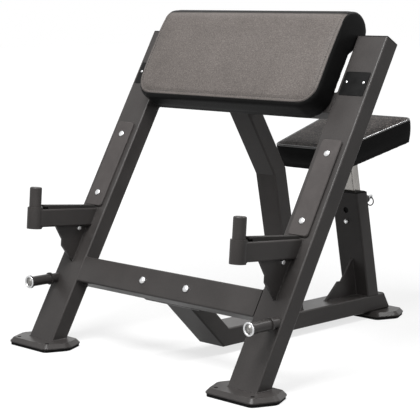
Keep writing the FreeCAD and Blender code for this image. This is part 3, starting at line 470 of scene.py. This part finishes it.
def cushion(nodeName, name, look, keepBack, backPlace):
    work = evenSkin(nodeName, name, look, keepBack, backPlace)
    even = work.data
    held = work.vertex_groups.new(name="held")
    laidOn = [v.co.copy() for v in even.vertices]
    normals = [v.normal.copy() for v in even.vertices]
    backs = [keepBack(v.co) for v in even.vertices]
    for vertex, normal, back in zip(even.vertices, normals, backs):
        if back:
            held.add([vertex.index], 1.0, "REPLACE")
        else:
            vertex.co -= normal * look["drawIn"]
    swell = [look["drawIn"]] * len(backs)
    swell = blownRise(work, name, look, normals)
    # firm foam: the swelling is capped and evened out, so the skin stays without folds
    fuller = look["fuller"] - look["drawIn"]
    lift = [0.0 if back else min(max(rise, 0), look["cap"]) + fuller for rise, back in zip(swell, backs)]
    lift = evened([tuple(e.vertices) for e in even.edges], lift, look["even"])
    for vertex, co, normal, rise, back in zip(even.vertices, laidOn, normals, lift, backs):
        vertex.co = co + normal * (min(rise, 0) if back else rise)
    even.update()
    return work


def finishCushion(work, name, body, material, smoothing):
    # one subdivision, then a plain mesh
    relax = work.modifiers.new("relax", "SMOOTH")
    relax.factor = smoothShare
    relax.iterations = smoothing
    finer = work.modifiers.new("finer", "SUBSURF")
    finer.levels = 1
    finer.render_levels = 1
    mesh = evaluatedMesh(work)
    bpy.data.objects.remove(work)
    smoothFaces(mesh)
    return asPiece(name, mesh, body, material)


def surfaceOf(piece):
    vertices = [v.co.copy() for v in piece.data.vertices]
    return BVHTree.FromPolygons(vertices, [tuple(p.vertices) for p in piece.data.polygons])


def pressSeam(mesh, seamGap, depth, width):
    # a sewn line pulls the surface in along its length
    for vertex in mesh.vertices:
        gap = seamGap(vertex.co)
        if gap is not None and gap < width * 2:
            vertex.co -= vertex.normal * depth * math.exp(-(gap / width) ** 2)
    mesh.update()


armPadLook = {"voxel": 0.005, "soften": 4, "drawIn": 0.0015, "pressure": 4.0, "stiffness": 15, "bending": 0.5,
              "frames": 20, "cap": 0.003, "fuller": 0.0028, "even": 12, "relax": 2, "seamDepth": 0.0024,
              "seamWidth": 0.0035, "backDepth": 0.016, "settle": 0.0052,
              "lowerFill": 0.005, "halfReach": 0.3405}
seatLook = {"voxel": 0.004, "soften": 4, "drawIn": 0.0015, "pressure": 4.0, "stiffness": 15, "bending": 0.5,
            "frames": 20, "cap": 0.0025, "fuller": 0.0014, "even": 14, "relax": 2, "seamDepth": 0.0006,
            "seamWidth": 0.003, "backDepth": 0.016, "settle": 0.0042}
toUpright = middleFrame.inverted()
toSeat = seatFrame.inverted()


def padBack(co):
    at = toUpright @ co
    return -at.y < armPadLook["backDepth"] and at.z < padFace["rollHeight"] - padFace["backDrop"]


def seatBack(co):
    return (toSeat @ co).z < seatLook["backDepth"]


def padSeamGap(co):
    # distance from the rounded outline of the face panel, on its front
    at = toUpright @ co
    if -at.y < padFace["depth"] and at.z < padFace["rollHeight"]:
        return None
    dx = max(abs(at.x) - padFace["halfWidth"] + padFace["corner"], 0)
    dz = max(padFace["low"] + padFace["corner"] - at.z, 0)
    return abs(math.hypot(dx, dz) - padFace["corner"] + padFace["stitchInset"])


def seatSeamGap(co):
    return abs((toSeat @ co).z - seatTop["seam"])


def fillLower(mesh):
    # the foam stands fuller towards the lower edge of the face, and the ends stay clear of the uprights
    ahead = middleFrame.to_3x3() @ Vector((0, -1, 0))
    for vertex in mesh.vertices:
        at = toUpright @ vertex.co
        down = (padFace["rollHeight"] - at.z) / (padFace["rollHeight"] - padFace["low"])
        facing = max(vertex.normal.dot(ahead), 0)
        at.y -= armPadLook["lowerFill"] * facing * min(max(down, 0), 1)
        at.x = min(max(at.x, -armPadLook["halfReach"]), armPadLook["halfReach"])
        vertex.co = middleFrame @ at
    mesh.update()


padRear = (middleFrame.translation, middleFrame.to_3x3() @ Vector((0, 1, 0)))
seatUnder = (seatFrame.translation, seatFrame.to_3x3() @ Vector((0, 0, -1)))
armPadWork = cushion("arm_pad", "armPad", armPadLook, padBack, padRear)
fillLower(armPadWork.data)
pressSeam(armPadWork.data, padSeamGap, armPadLook["seamDepth"], armPadLook["seamWidth"])
armPad = finishCushion(armPadWork, "armPad", "frame", padVinyl, armPadLook["relax"])
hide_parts("arm_pad")
seatWork = cushion("seat_cushion", "seatPad", seatLook, seatBack, seatUnder)
pressSeam(seatWork.data, seatSeamGap, seatLook["seamDepth"], seatLook["seamWidth"])
seatPad = finishCushion(seatWork, "seatPad", "seat", seatVinyl, seatLook["relax"])
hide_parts("seat_cushion")
print("padded pieces made")


# node trees for what runs along a path or sits on points

def startTree(name, inputs):
    tree = bpy.data.node_groups.new(name, "GeometryNodeTree")
    tree.interface.new_socket("Geometry", in_out="INPUT", socket_type="NodeSocketGeometry")
    for label, kind in inputs:
        tree.interface.new_socket(label, in_out="INPUT", socket_type="NodeSocket" + kind)
    tree.interface.new_socket("Geometry", in_out="OUTPUT", socket_type="NodeSocketGeometry")
    return tree, tree.nodes.new("NodeGroupInput"), tree.nodes.new("NodeGroupOutput")


def endTree(tree, given, out, geometry):
    # real meshes with their material, as the export needs
    real = addNode(tree, "GeometryNodeRealizeInstances", links={"Geometry": geometry})
    smooth = addNode(tree, "GeometryNodeSetShadeSmooth", links={"Geometry": real.outputs["Geometry"]})
    coated = addNode(tree, "GeometryNodeSetMaterial", links={"Geometry": smooth.outputs["Geometry"],
                                                             "Material": given.outputs["Material"]})
    tree.links.new(coated.outputs["Geometry"], out.inputs["Geometry"])


def evenLine(tree, given):
    line = addNode(tree, "GeometryNodeMeshToCurve", links={"Mesh": given.outputs["Geometry"]})
    links = {"Curve": line.outputs["Curve"], "Length": given.outputs["Spacing"]}
    return addNode(tree, "GeometryNodeResampleCurve", links=links, mode="LENGTH").outputs["Curve"]


def alongZ(tree, direction):
    # a turn that lays the z axis along a direction
    return addNode(tree, "FunctionNodeAlignRotationToVector", links={"Vector": direction},
                   axis="Z").outputs["Rotation"]


def cordTree():
    tree, given, out = startTree("weltAlongPath", (("Radius", "Float"), ("Spacing", "Float"),
                                                   ("Material", "Material")))
    even = evenLine(tree, given)
    ring = addNode(tree, "GeometryNodeCurvePrimitiveCircle", {"Resolution": 10},
                   {"Radius": given.outputs["Radius"]})
    tube = addNode(tree, "GeometryNodeCurveToMesh", {"Fill Caps": True},
                   {"Curve": even, "Profile Curve": ring.outputs["Curve"]})
    endTree(tree, given, out, tube.outputs["Mesh"])
    return tree


def beadTree():
    # small round beads set along a path, each drawn out along it
    tree, given, out = startTree("beadsAlongPath", (("Spacing", "Float"), ("Size", "Vector"),
                                                    ("Material", "Material")))
    even = evenLine(tree, given)
    bead = addNode(tree, "GeometryNodeMeshUVSphere", {"Segments": 8, "Rings": 5, "Radius": 1.0})
    turn = alongZ(tree, addNode(tree, "GeometryNodeInputTangent").outputs["Tangent"])
    row = addNode(tree, "GeometryNodeInstanceOnPoints", links={
        "Points": even, "Instance": bead.outputs["Mesh"], "Rotation": turn, "Scale": given.outputs["Size"]})
    endTree(tree, given, out, row.outputs["Instances"])
    return tree


def studTree():
    # a made fastener on every point, its axis along the point's own direction
    tree, given, out = startTree("fastenersOnPoints", (("Fastener", "Object"), ("Material", "Material")))
    part = addNode(tree, "GeometryNodeObjectInfo", links={"Object": given.outputs["Fastener"]})
    axis = addNode(tree, "GeometryNodeInputNamedAttribute", {"Name": "axis"}, data_type="FLOAT_VECTOR")
    row = addNode(tree, "GeometryNodeInstanceOnPoints", links={
        "Points": given.outputs["Geometry"], "Instance": part.outputs["Geometry"],
        "Rotation": alongZ(tree, axis.outputs["Attribute"])})
    endTree(tree, given, out, row.outputs["Instances"])
    return tree


cords, beads, fasteners = cordTree(), beadTree(), studTree()


def grown(name, tree, points, edges, values, body, attributes=None):
    # runs a tree over loose points or lines and keeps the result as a plain mesh
    mesh = bpy.data.meshes.new(name + "Path")
    mesh.from_pydata([tuple(p) for p in points], edges, [])
    for label, vectors in (attributes or {}).items():
        layer = mesh.attributes.new(label, "FLOAT_VECTOR", "POINT")
        layer.data.foreach_set("vector", [c for v in vectors for c in v])
    holder = bpy.data.objects.new(name + "Holder", mesh)
    scene.collection.objects.link(holder)
    grow = holder.modifiers.new("grow", "NODES")
    grow.node_group = tree
    sockets = {s.name: s.identifier for s in tree.interface.items_tree if s.in_out == "INPUT"}
    for label, value in values.items():
        grow[sockets[label]] = value
    made = evaluatedMesh(holder)
    bpy.data.objects.remove(holder)
    made.name = name
    return asPiece(name, made, body)


def loopEdges(first, count, closed):
    edges = [(first + i, first + i + 1) for i in range(count - 1)]
    return edges + ([(first + count - 1, first)] if closed else [])


def joinPaths(paths):
    # several open or closed lines as one list of points and edges
    points, edges = [], []
    for line, closed in paths:
        edges += loopEdges(len(points), len(line), closed)
        points += line
    return points, edges


# welts and stitches of the two pads

padSurface = surfaceOf(armPad)
seatSurface = surfaceOf(seatPad)
trim = {"padWelt": 0.0013, "seatWelt": 0.0034, "weltStep": 0.004, "evenRounds": 6, "stitchPitch": 0.008,
        "stitchSize": (0.0007, 0.0007, 0.0026), "weltLift": 0.0002, "stitchLift": 0.0003, "pointStep": 0.012,
        "seatStitchInset": 0.02, "castFrom": 0.3, "castBeside": 0.2, "padArcSteps": 10, "seatArcSteps": 8}


def onPad(x, along):
    # a place on the front or the roll: along is a height up to the roll's axis, then an angle over it
    if along <= padFace["rollHeight"]:
        start = middleFrame @ Vector((x, -trim["castFrom"], along))
        aim = middleFrame.to_3x3() @ Vector((0, 1, 0))
    else:
        turn = (along - padFace["rollHeight"]) / padFace["rollRadius"]
        out = Vector((0, -math.cos(turn), math.sin(turn)))
        axis = Vector((x, -padFace["rollAhead"], padFace["rollHeight"]))
        start = middleFrame @ (axis + out * trim["castFrom"])
        aim = middleFrame.to_3x3() @ -out
    hit, normal, _, _ = padSurface.ray_cast(start, aim)
    return hit, -aim if normal is None else normal


def padLoop(inset, lift):
    # round the face panel: down one side, across the bottom, up the other side and over the roll to its back
    half = padFace["halfWidth"] - inset
    corner = padFace["corner"] - inset
    low = padFace["low"] + inset
    top = padFace["rollHeight"] + padFace["rollRadius"] * math.radians(padFace["weltEnd"])
    arcSteps = trim["padArcSteps"]
    arc = [math.pi / 2 * k / arcSteps for k in range(arcSteps + 1)]
    sideSteps = int((top - low - corner) / trim["pointStep"])
    lowSteps = int((half - corner) * 2 / trim["pointStep"])
    topSteps = int(half * 2 / trim["pointStep"])
    plan = [(-half, top + (low + corner - top) * k / sideSteps) for k in range(sideSteps + 1)]
    plan += [(-half + corner - corner * math.cos(a), low + corner - corner * math.sin(a)) for a in arc[1:]]
    plan += [(-half + corner + (half - corner) * 2 * k / lowSteps, low) for k in range(1, lowSteps)]
    plan += [(half - corner + corner * math.sin(a), low + corner - corner * math.cos(a)) for a in arc]
    plan += [(half, low + corner + (top - low - corner) * k / sideSteps) for k in range(1, sideSteps + 1)]
    plan += [(half - half * 2 * k / topSteps, top) for k in range(1, topSteps)]
    points = []
    for x, along in plan:
        hit, normal = onPad(x, along)
        if hit is not None:
            points.append(hit + normal * lift)
    return points


def evenLoop(points, rounds):
    # takes the small steps of the skin out of a closed line
    own, beside = 0.5, 0.25
    for _ in range(rounds):
        points = [points[k - 1] * beside + points[k] * own + points[(k + 1) % len(points)] * beside
                  for k in range(len(points))]
    return points


def seatPlan(inset):
    # rounded outline of the seat in plan, as in the solid
    front, rear = seatTop["frontHalf"] - inset, seatTop["rearHalf"] - inset
    low, high = inset - seatTop["frontReach"], seatTop["rearReach"] - inset
    corners = [Vector((-front, low)), Vector((front, low)), Vector((rear, high)), Vector((-rear, high))]
    plan = []
    for i, here in enumerate(corners):
        before, after = corners[i - 1] - here, corners[(i + 1) % 4] - here
        half = before.angle(after) / 2
        cut = seatTop["corner"] / math.tan(half)
        inward = (before.normalized() + after.normalized()).normalized()
        centre = here + inward * seatTop["corner"] / math.sin(half)
        first, last = here + before.normalized() * cut - centre, here + after.normalized() * cut - centre
        sweep = first.angle_signed(last)
        for k in range(trim["seatArcSteps"] + 1):
            angle = -sweep * k / trim["seatArcSteps"]
            plan.append(centre + Matrix.Rotation(angle, 2) @ first)
        run = corners[(i + 1) % 4] - here
        steps = int(run.length / trim["pointStep"])
        plan += [here + run * (k / steps) for k in range(2, steps - 1)]
    return plan


def seatLoop(height, inset, lift, downward):
    points = []
    for at in seatPlan(inset):
        if downward:
            start, aim = Vector((at.x, at.y, trim["castFrom"])), Vector((0, 0, -1))
        else:
            outward = Vector((at.x, at.y, 0)).normalized()
            start, aim = Vector((at.x, at.y, height)) + outward * trim["castBeside"], -outward
        hit, normal, _, _ = seatSurface.ray_cast(seatFrame @ start, seatFrame.to_3x3() @ aim)
        if hit is not None:
            points.append(hit + normal * lift)
    return points


for name, line, radius, cover, body, slotName in (
        ("armPadWelt", padLoop(0.0, trim["weltLift"]), trim["padWelt"], padCord, "frame", "pad_vinyl"),
        ("seatWelt", seatLoop(seatTop["seam"], 0.0, trim["weltLift"], False), trim["seatWelt"], weltVinyl,
         "seat", "seat_vinyl")):
    points, edges = joinPaths([(evenLoop(line, trim["evenRounds"]), True)])
    welt = grown(name, cords, points, edges, {"Radius": radius, "Spacing": trim["weltStep"],
                                              "Material": cover}, body)
for name, line, body, slotName in (
        ("armPadStitches", padLoop(padFace["stitchInset"], trim["stitchLift"]), "frame", "pad_vinyl"),
        ("seatStitches", seatLoop(seatTop["seam"], trim["seatStitchInset"], trim["stitchLift"], True), "seat",
         "seat_vinyl")):
    points, edges = joinPaths([(line, True)])
    stitches = grown(name, beads, points, edges, {"Spacing": trim["stitchPitch"], "Size": trim["stitchSize"],
                                                  "Material": threadBlack}, body)
print("welts and stitches made")


# fasteners

def turned(profile, segments, hexFrom=None):
    # spins a radius and height line about z; rings from hexFrom on are six-sided
    mesh = bpy.data.meshes.new("turned")
    shape = bmesh.new()
    rings = []
    for index, (radius, height) in enumerate(profile):
        if radius == 0:
            rings.append([shape.verts.new((0, 0, height))])
            continue
        ring = []
        for k in range(segments):
            angle = 2 * math.pi * k / segments
            reach = radius
            if hexFrom is not None and index >= hexFrom:
                reach = radius * math.cos(math.pi / 6) / math.cos((angle % (math.pi / 3)) - math.pi / 6)
            ring.append(shape.verts.new((reach * math.cos(angle), reach * math.sin(angle), height)))
        rings.append(ring)
    for lower, upper in zip(rings, rings[1:]):
        for k in range(segments):
            corner = [lower[k % len(lower)], lower[(k + 1) % len(lower)], upper[(k + 1) % len(upper)],
                      upper[k % len(upper)]]
            shape.faces.new(list(dict.fromkeys(corner)))
    bmesh.ops.remove_doubles(shape, verts=shape.verts, dist=mergeGap["turned"])
    bmesh.ops.recalc_face_normals(shape, faces=shape.faces)
    shape.to_mesh(mesh)
    shape.free()
    return mesh


boltSegments = 24
capSegments = 32


def shank(radius, length):
    return [(0, length), (radius, length), (radius, 0)]


def buttonBolt(headRadius, headHeight, shankRadius, shankLength):
    # button head with a hexagon socket, its shank along z
    rim, domeSteps = 0.0016, 5
    socket = headRadius * 0.5
    mouth = socket * 1.12
    rise = headHeight - rim
    dome = (headRadius ** 2 + rise ** 2) / (2 * rise)
    profile = shank(shankRadius, shankLength) + [(headRadius, 0), (headRadius, -rim)]
    for k in range(1, domeSteps + 1):
        radius = headRadius + (mouth - headRadius) * k / domeSteps
        profile.append((radius, -(rim + math.sqrt(dome ** 2 - radius ** 2) - (dome - rise))))
    top = profile[-1][1]
    hole = [(socket, top), (socket * 0.96, top * 0.4), (0, top * 0.36)]
    return turned(profile + hole, boltSegments, hexFrom=len(profile))


def domeBolt(headRadius, headHeight, shankRadius, shankLength):
    # plain mushroom head, its shank along z
    rim, domeSteps = 0.0012, 8
    profile = shank(shankRadius, shankLength) + [(headRadius, 0)]
    profile += [(headRadius * math.cos(a), -rim - (headHeight - rim) * math.sin(a))
                for a in [math.pi / 2 / domeSteps * k for k in range(domeSteps)]]
    return turned(profile + [(0, -headHeight)], boltSegments)


def capScrew(headRadius, headHeight, bevel, shankRadius, shankLength):
    # cylinder head with a hexagon socket, its shank along z
    socket = headRadius * 0.46
    mouth = socket * 1.2
    bottom = -headHeight * 0.45
    profile = shank(shankRadius, shankLength) + [(headRadius, 0), (headRadius, bevel - headHeight),
                                                 (headRadius - bevel, -headHeight), (mouth, -headHeight)]
    hole = [(socket, bevel * 0.4 - headHeight), (socket, bottom), (0, bottom)]
    return turned(profile + hole, boltSegments, hexFrom=len(profile))


def pegRim(radius, thickness):
    # raised rim of an end cap
    edge, inner, lip, recess = 0.0009, radius * 0.7, radius * 0.76, thickness * 0.5
    return turned([(inner, thickness), (radius, thickness), (radius, edge), (radius - edge, 0), (lip, 0),
                   (inner, recess), (inner, thickness)], capSegments)


def pegCentre(radius, thickness):
    # floor of the cap's recess with a low screw head
    plate, recess = radius * 0.72, thickness * 0.5
    return turned([(0, thickness), (plate, thickness), (plate, recess), (radius * 0.38, recess),
                   (radius * 0.37, 0.0006), (radius * 0.28, 0.0002), (radius * 0.14, 0.0001),
                   (radius * 0.1, recess), (0, recess)], capSegments)


# where the fasteners stand on the slanted frames
bolts = {"crossbarX": 0.084, "crossbarHeight": 0.223, "guardFace": -0.007, "guardHeight": 0.546,
         "guardReach": 0.094, "postFront": -0.025, "screwHeight": 0.241, "padX": 0.2, "barBack": 0.05,
         "padHeight": 0.787, "rivetX": 0.028, "badgeFace": -0.0015, "badgeHeight": 0.8465, "pegOffset": 0.033,
         "pegHeight": 0.183, "pegReach": 0.102}
into = middleFrame.to_3x3() @ Vector((0, 1, 0))
intoPost = postFrame.to_3x3() @ Vector((0, 1, 0))
levelBack = Vector((0, 1, 0))
uprights = [s * bench["uprightX"] for s in sides]
guardHeights = [bolts["guardHeight"] + t * bolts["guardReach"] for t in sides]
pegX = bench["uprightX"] + bolts["pegOffset"]
pegEnds = [uprightFrame(s * pegX) @ Vector((0, 0, bolts["pegHeight"])) - levelBack * bolts["pegReach"]
           for s in sides]
pegCap = {"radius": 0.018, "thickness": 0.0025}
boltSets = {
    "crossbarBolts": {
        "mesh": domeBolt(headRadius=0.0105, headHeight=0.007, shankRadius=0.006, shankLength=0.067),
        "places": [uprightFrame(s * bolts["crossbarX"]) @ Vector((0, 0, bolts["crossbarHeight"]))
                   for s in sides],
        "axis": into, "stands": ["left_crossbar_bolt", "right_crossbar_bolt"]},
    "guardBolts": {
        "mesh": domeBolt(headRadius=0.009, headHeight=0.0045, shankRadius=0.004, shankLength=0.007),
        "places": [uprightFrame(x) @ Vector((0, bolts["guardFace"], height))
                   for x in uprights for height in guardHeights],
        "axis": into, "stands": ["left_lower_guard_bolt", "left_upper_guard_bolt", "right_lower_guard_bolt",
                                 "right_upper_guard_bolt"]},
    "guideScrew": {
        "mesh": capScrew(headRadius=0.0065, headHeight=0.008, bevel=0.001, shankRadius=0.004,
                         shankLength=0.008),
        "places": [postFrame @ Vector((0, bolts["postFront"], bolts["screwHeight"]))],
        "axis": intoPost, "stands": ["guide_screw"]},
    "padBolts": {
        "mesh": buttonBolt(headRadius=0.01, headHeight=0.0045, shankRadius=0.005, shankLength=0.059),
        "places": [uprightFrame(s * bolts["padX"]) @ Vector((0, bolts["barBack"], bolts["padHeight"]))
                   for s in sides],
        "axis": -into, "stands": ["left_pad_bolt", "right_pad_bolt"]},
    "badgeRivets": {
        "mesh": domeBolt(headRadius=0.0037, headHeight=0.002, shankRadius=0.0015, shankLength=0.001),
        "places": [uprightFrame(x + t * bolts["rivetX"])
                   @ Vector((0, bolts["badgeFace"], bolts["badgeHeight"])) for x in uprights for t in sides],
        "axis": into, "stands": []},
    "pegCaps": {"mesh": pegRim(**pegCap), "places": pegEnds, "axis": levelBack,
                "stands": ["left_peg_cap", "right_peg_cap"]},
    # the recess floor takes the darker zinc, which is painted shade
    "pegCapCentres": {"mesh": pegCentre(**pegCap), "places": pegEnds, "axis": levelBack, "stands": [],
                      "finish": recessShadeZinc},
}
for name, look in boltSets.items():
    part = bpy.data.objects.new(name + "Part", look["mesh"])
    scene.collection.objects.link(part)
    row = grown(name, fasteners, look["places"], [], {"Fastener": part, "Material": look.get("finish", zinc)},
                "frame", {"axis": [look["axis"]] * len(look["places"])})
    bpy.data.objects.remove(part)
    if look["stands"]:
        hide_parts(*look["stands"])
print("fasteners made")


# weld beads, found where the rim of one piece stands on another
weld = {"pitch": 0.0024, "size": (0.002, 0.002, 0.0018), "near": 0.0008, "margin": 0.003, "sharp": 0.35,
        "insideReach": 0.2}
sideNames = ("left", "right")
paired = [(f"{side}_{first}", f"{side}_{second}") for side in sideNames for first, second in (
    ("upright", "foot_plate"), ("catch_arm", "upright"), ("catch_arm", "catch_boss"),
    ("catch_gusset", "upright"), ("catch_gusset", "catch_arm"), ("band_peg", "upright"))]
paired += [(bar, f"{side}_upright") for bar in ("front_crossbar", "upper_crossmember") for side in sideNames]
paired += [("base_tube", "rear_foot_plate"), ("base_tube", "base_flange"), ("rear_post", "base_tube"),
           ("spine_tube", "base_tube"), ("spine_tube", "upper_crossmember"), ("rear_gusset", "rear_post"),
           ("rear_gusset", "base_tube"), ("pin_housing", "rear_post")]


def weldLines(standing, carrier):
    shape, bed = bmesh.new(), bmesh.new()
    shape.from_mesh(mergedCopy(standing))
    bed.from_mesh(mergedCopy(carrier))
    own, under = BVHTree.FromBMesh(shape), BVHTree.FromBMesh(bed)
    points, edges = {}, []
    for edge in shape.edges:
        if len(edge.link_faces) != 2 or edge.calc_face_angle() < weld["sharp"]:
            continue
        if any(under.find_nearest(v.co, weld["near"])[0] is None for v in edge.verts):
            continue
        middle = (edge.verts[0].co + edge.verts[1].co) / 2
        normal = under.find_nearest(middle)[1]
        outward = min((f.normal for f in edge.link_faces), key=lambda n: abs(n.dot(normal)))
        beyond = middle + outward * weld["margin"]
        if under.find_nearest(beyond, weld["near"])[0] is None:  # flush side, ground smooth
            continue
        if own.ray_cast(beyond, outward, weld["insideReach"])[0] is not None:  # inside of the tube
            continue
        ends = [points.setdefault(v.index, (len(points), v.co.copy()))[0] for v in edge.verts]
        edges.append(tuple(ends))
    shape.free()
    bed.free()
    return [co for _, co in sorted(points.values(), key=lambda pair: pair[0])], edges


def weldBeads(name, pairs, body):
    points, edges = [], []
    for standing, carrier in pairs:
        found, lines = weldLines(standing, carrier)
        edges += [(a + len(points), b + len(points)) for a, b in lines]
        points += found
    welds = grown(name, beads, points, edges, {"Spacing": weld["pitch"], "Size": weld["size"],
                                               "Material": framePaint}, body)
    print(name, "runs over", len(edges), "edges,", len(welds.data.polygons), "faces")


weldBeads("frameWelds", paired, "frame")
weldBeads("seatWelds", [("seat_tube", "seat_plate")], "seat")


# camera, from the photograph's own angle
view = {"place": (2.8098, -3.0315, 0.9731), "turn": (81.755, 0.088, 44.945), "focal": 1471.22, "side": 420,
        "sensorMm": 36}
cameraData = bpy.data.cameras.new("camera")
cameraData.sensor_width = view["sensorMm"]
cameraData.lens = view["focal"] / view["side"] * cameraData.sensor_width
cameraData.dof.use_dof = False
camera = bpy.data.objects.new("camera", cameraData)
camera.location = view["place"]
camera.rotation_euler = [math.radians(a) for a in view["turn"]]
scene.collection.objects.link(camera)
scene.camera = camera

# soft studio light, aimed at the middle of the bench
lampAim = Vector((0, 0, 0.45))
lamps = {"key": {"place": (0.3, -1.55, 2.7), "size": 1.5, "watts": 114},
         "fill": {"place": (2.7, -1.7, 2.1), "size": 1.5, "watts": 26},
         "back": {"place": (0.9, 1.6, 3.0), "size": 0.5, "watts": 45}}
for name, lamp in lamps.items():
    data = bpy.data.lights.new(name, "AREA")
    data.size = lamp["size"]
    data.energy = lamp["watts"]
    light = bpy.data.objects.new(name, data)
    light.location = lamp["place"]
    light.rotation_euler = (lampAim - Vector(lamp["place"])).to_track_quat("-Z", "Y").to_euler()
    scene.collection.objects.link(light)


def seenDirectly(tree, reflected):
    # 1 where the camera looks at a surface, straight or through something, and a share of it in reflections
    path = addNode(tree, "ShaderNodeLightPath").outputs
    straight = reckon(tree, "MAXIMUM", path["Is Camera Ray"], path["Is Transmission Ray"])
    return reckon(tree, "MAXIMUM", straight, reckon(tree, "MULTIPLY", path["Is Glossy Ray"], reflected))


# world: faint even light, white where it is seen
worldLook = {"light": 0.14, "seen": 1.0, "reflected": 1.0}
world = bpy.data.worlds.new("studio")
world.use_nodes = True
scene.world = world
tree = world.node_tree
background = tree.nodes["Background"]
strength = ranged(tree, seenDirectly(tree, worldLook["reflected"]), (0, 1),
                  (worldLook["light"], worldLook["seen"]))
tree.links.new(strength, background.inputs["Strength"])
background.inputs["Color"].default_value = linear(white)

# grey floor, white where it is seen, that keeps a soft shadow near the bench
floorLook = {"size": 40.0, "drop": -0.0004, "tone": "#8c8c8c", "near": 0.9, "far": 3.0, "nearGlow": 0.74,
             "farGlow": 1.0, "reflected": 0.55}
floorMesh = bpy.data.meshes.new("floor")
floorHalf = floorLook["size"] / 2
floorCorners = ((-1, -1), (1, -1), (1, 1), (-1, 1))
floorMesh.from_pydata([(x * floorHalf, y * floorHalf, floorLook["drop"]) for x, y in floorCorners], [],
                      [(0, 1, 2, 3)])
floor = bpy.data.objects.new("floor", floorMesh)
scene.collection.objects.link(floor)
floorPaint, tree, shader = startMaterial("studioFloor", {"Base Color": linear(floorLook["tone"]),
                                                         "Roughness": 0.9, "Specular IOR Level": 0.0})
fromMiddle = addNode(tree, "ShaderNodeVectorMath", links={0: objectPlace(tree)}, operation="LENGTH")
share = addNode(tree, "ShaderNodeMapRange", {
    "From Min": floorLook["near"], "From Max": floorLook["far"], "To Min": floorLook["nearGlow"],
    "To Max": floorLook["farGlow"]}, {"Value": fromMiddle.outputs["Value"]}, interpolation_type="SMOOTHSTEP")
shown = reckon(tree, "MULTIPLY", share.outputs["Result"], seenDirectly(tree, floorLook["reflected"]))
glow = addNode(tree, "ShaderNodeEmission", {"Color": linear(white)}, {"Strength": shown})
lit = addNode(tree, "ShaderNodeAddShader", links={0: shader.outputs["BSDF"], 1: glow.outputs["Emission"]})
tree.links.new(lit.outputs["Shader"], tree.nodes["Material Output"].inputs["Surface"])
floorMesh.materials.append(floorPaint)

scene.view_settings.view_transform = "Standard"
print("scene ready")
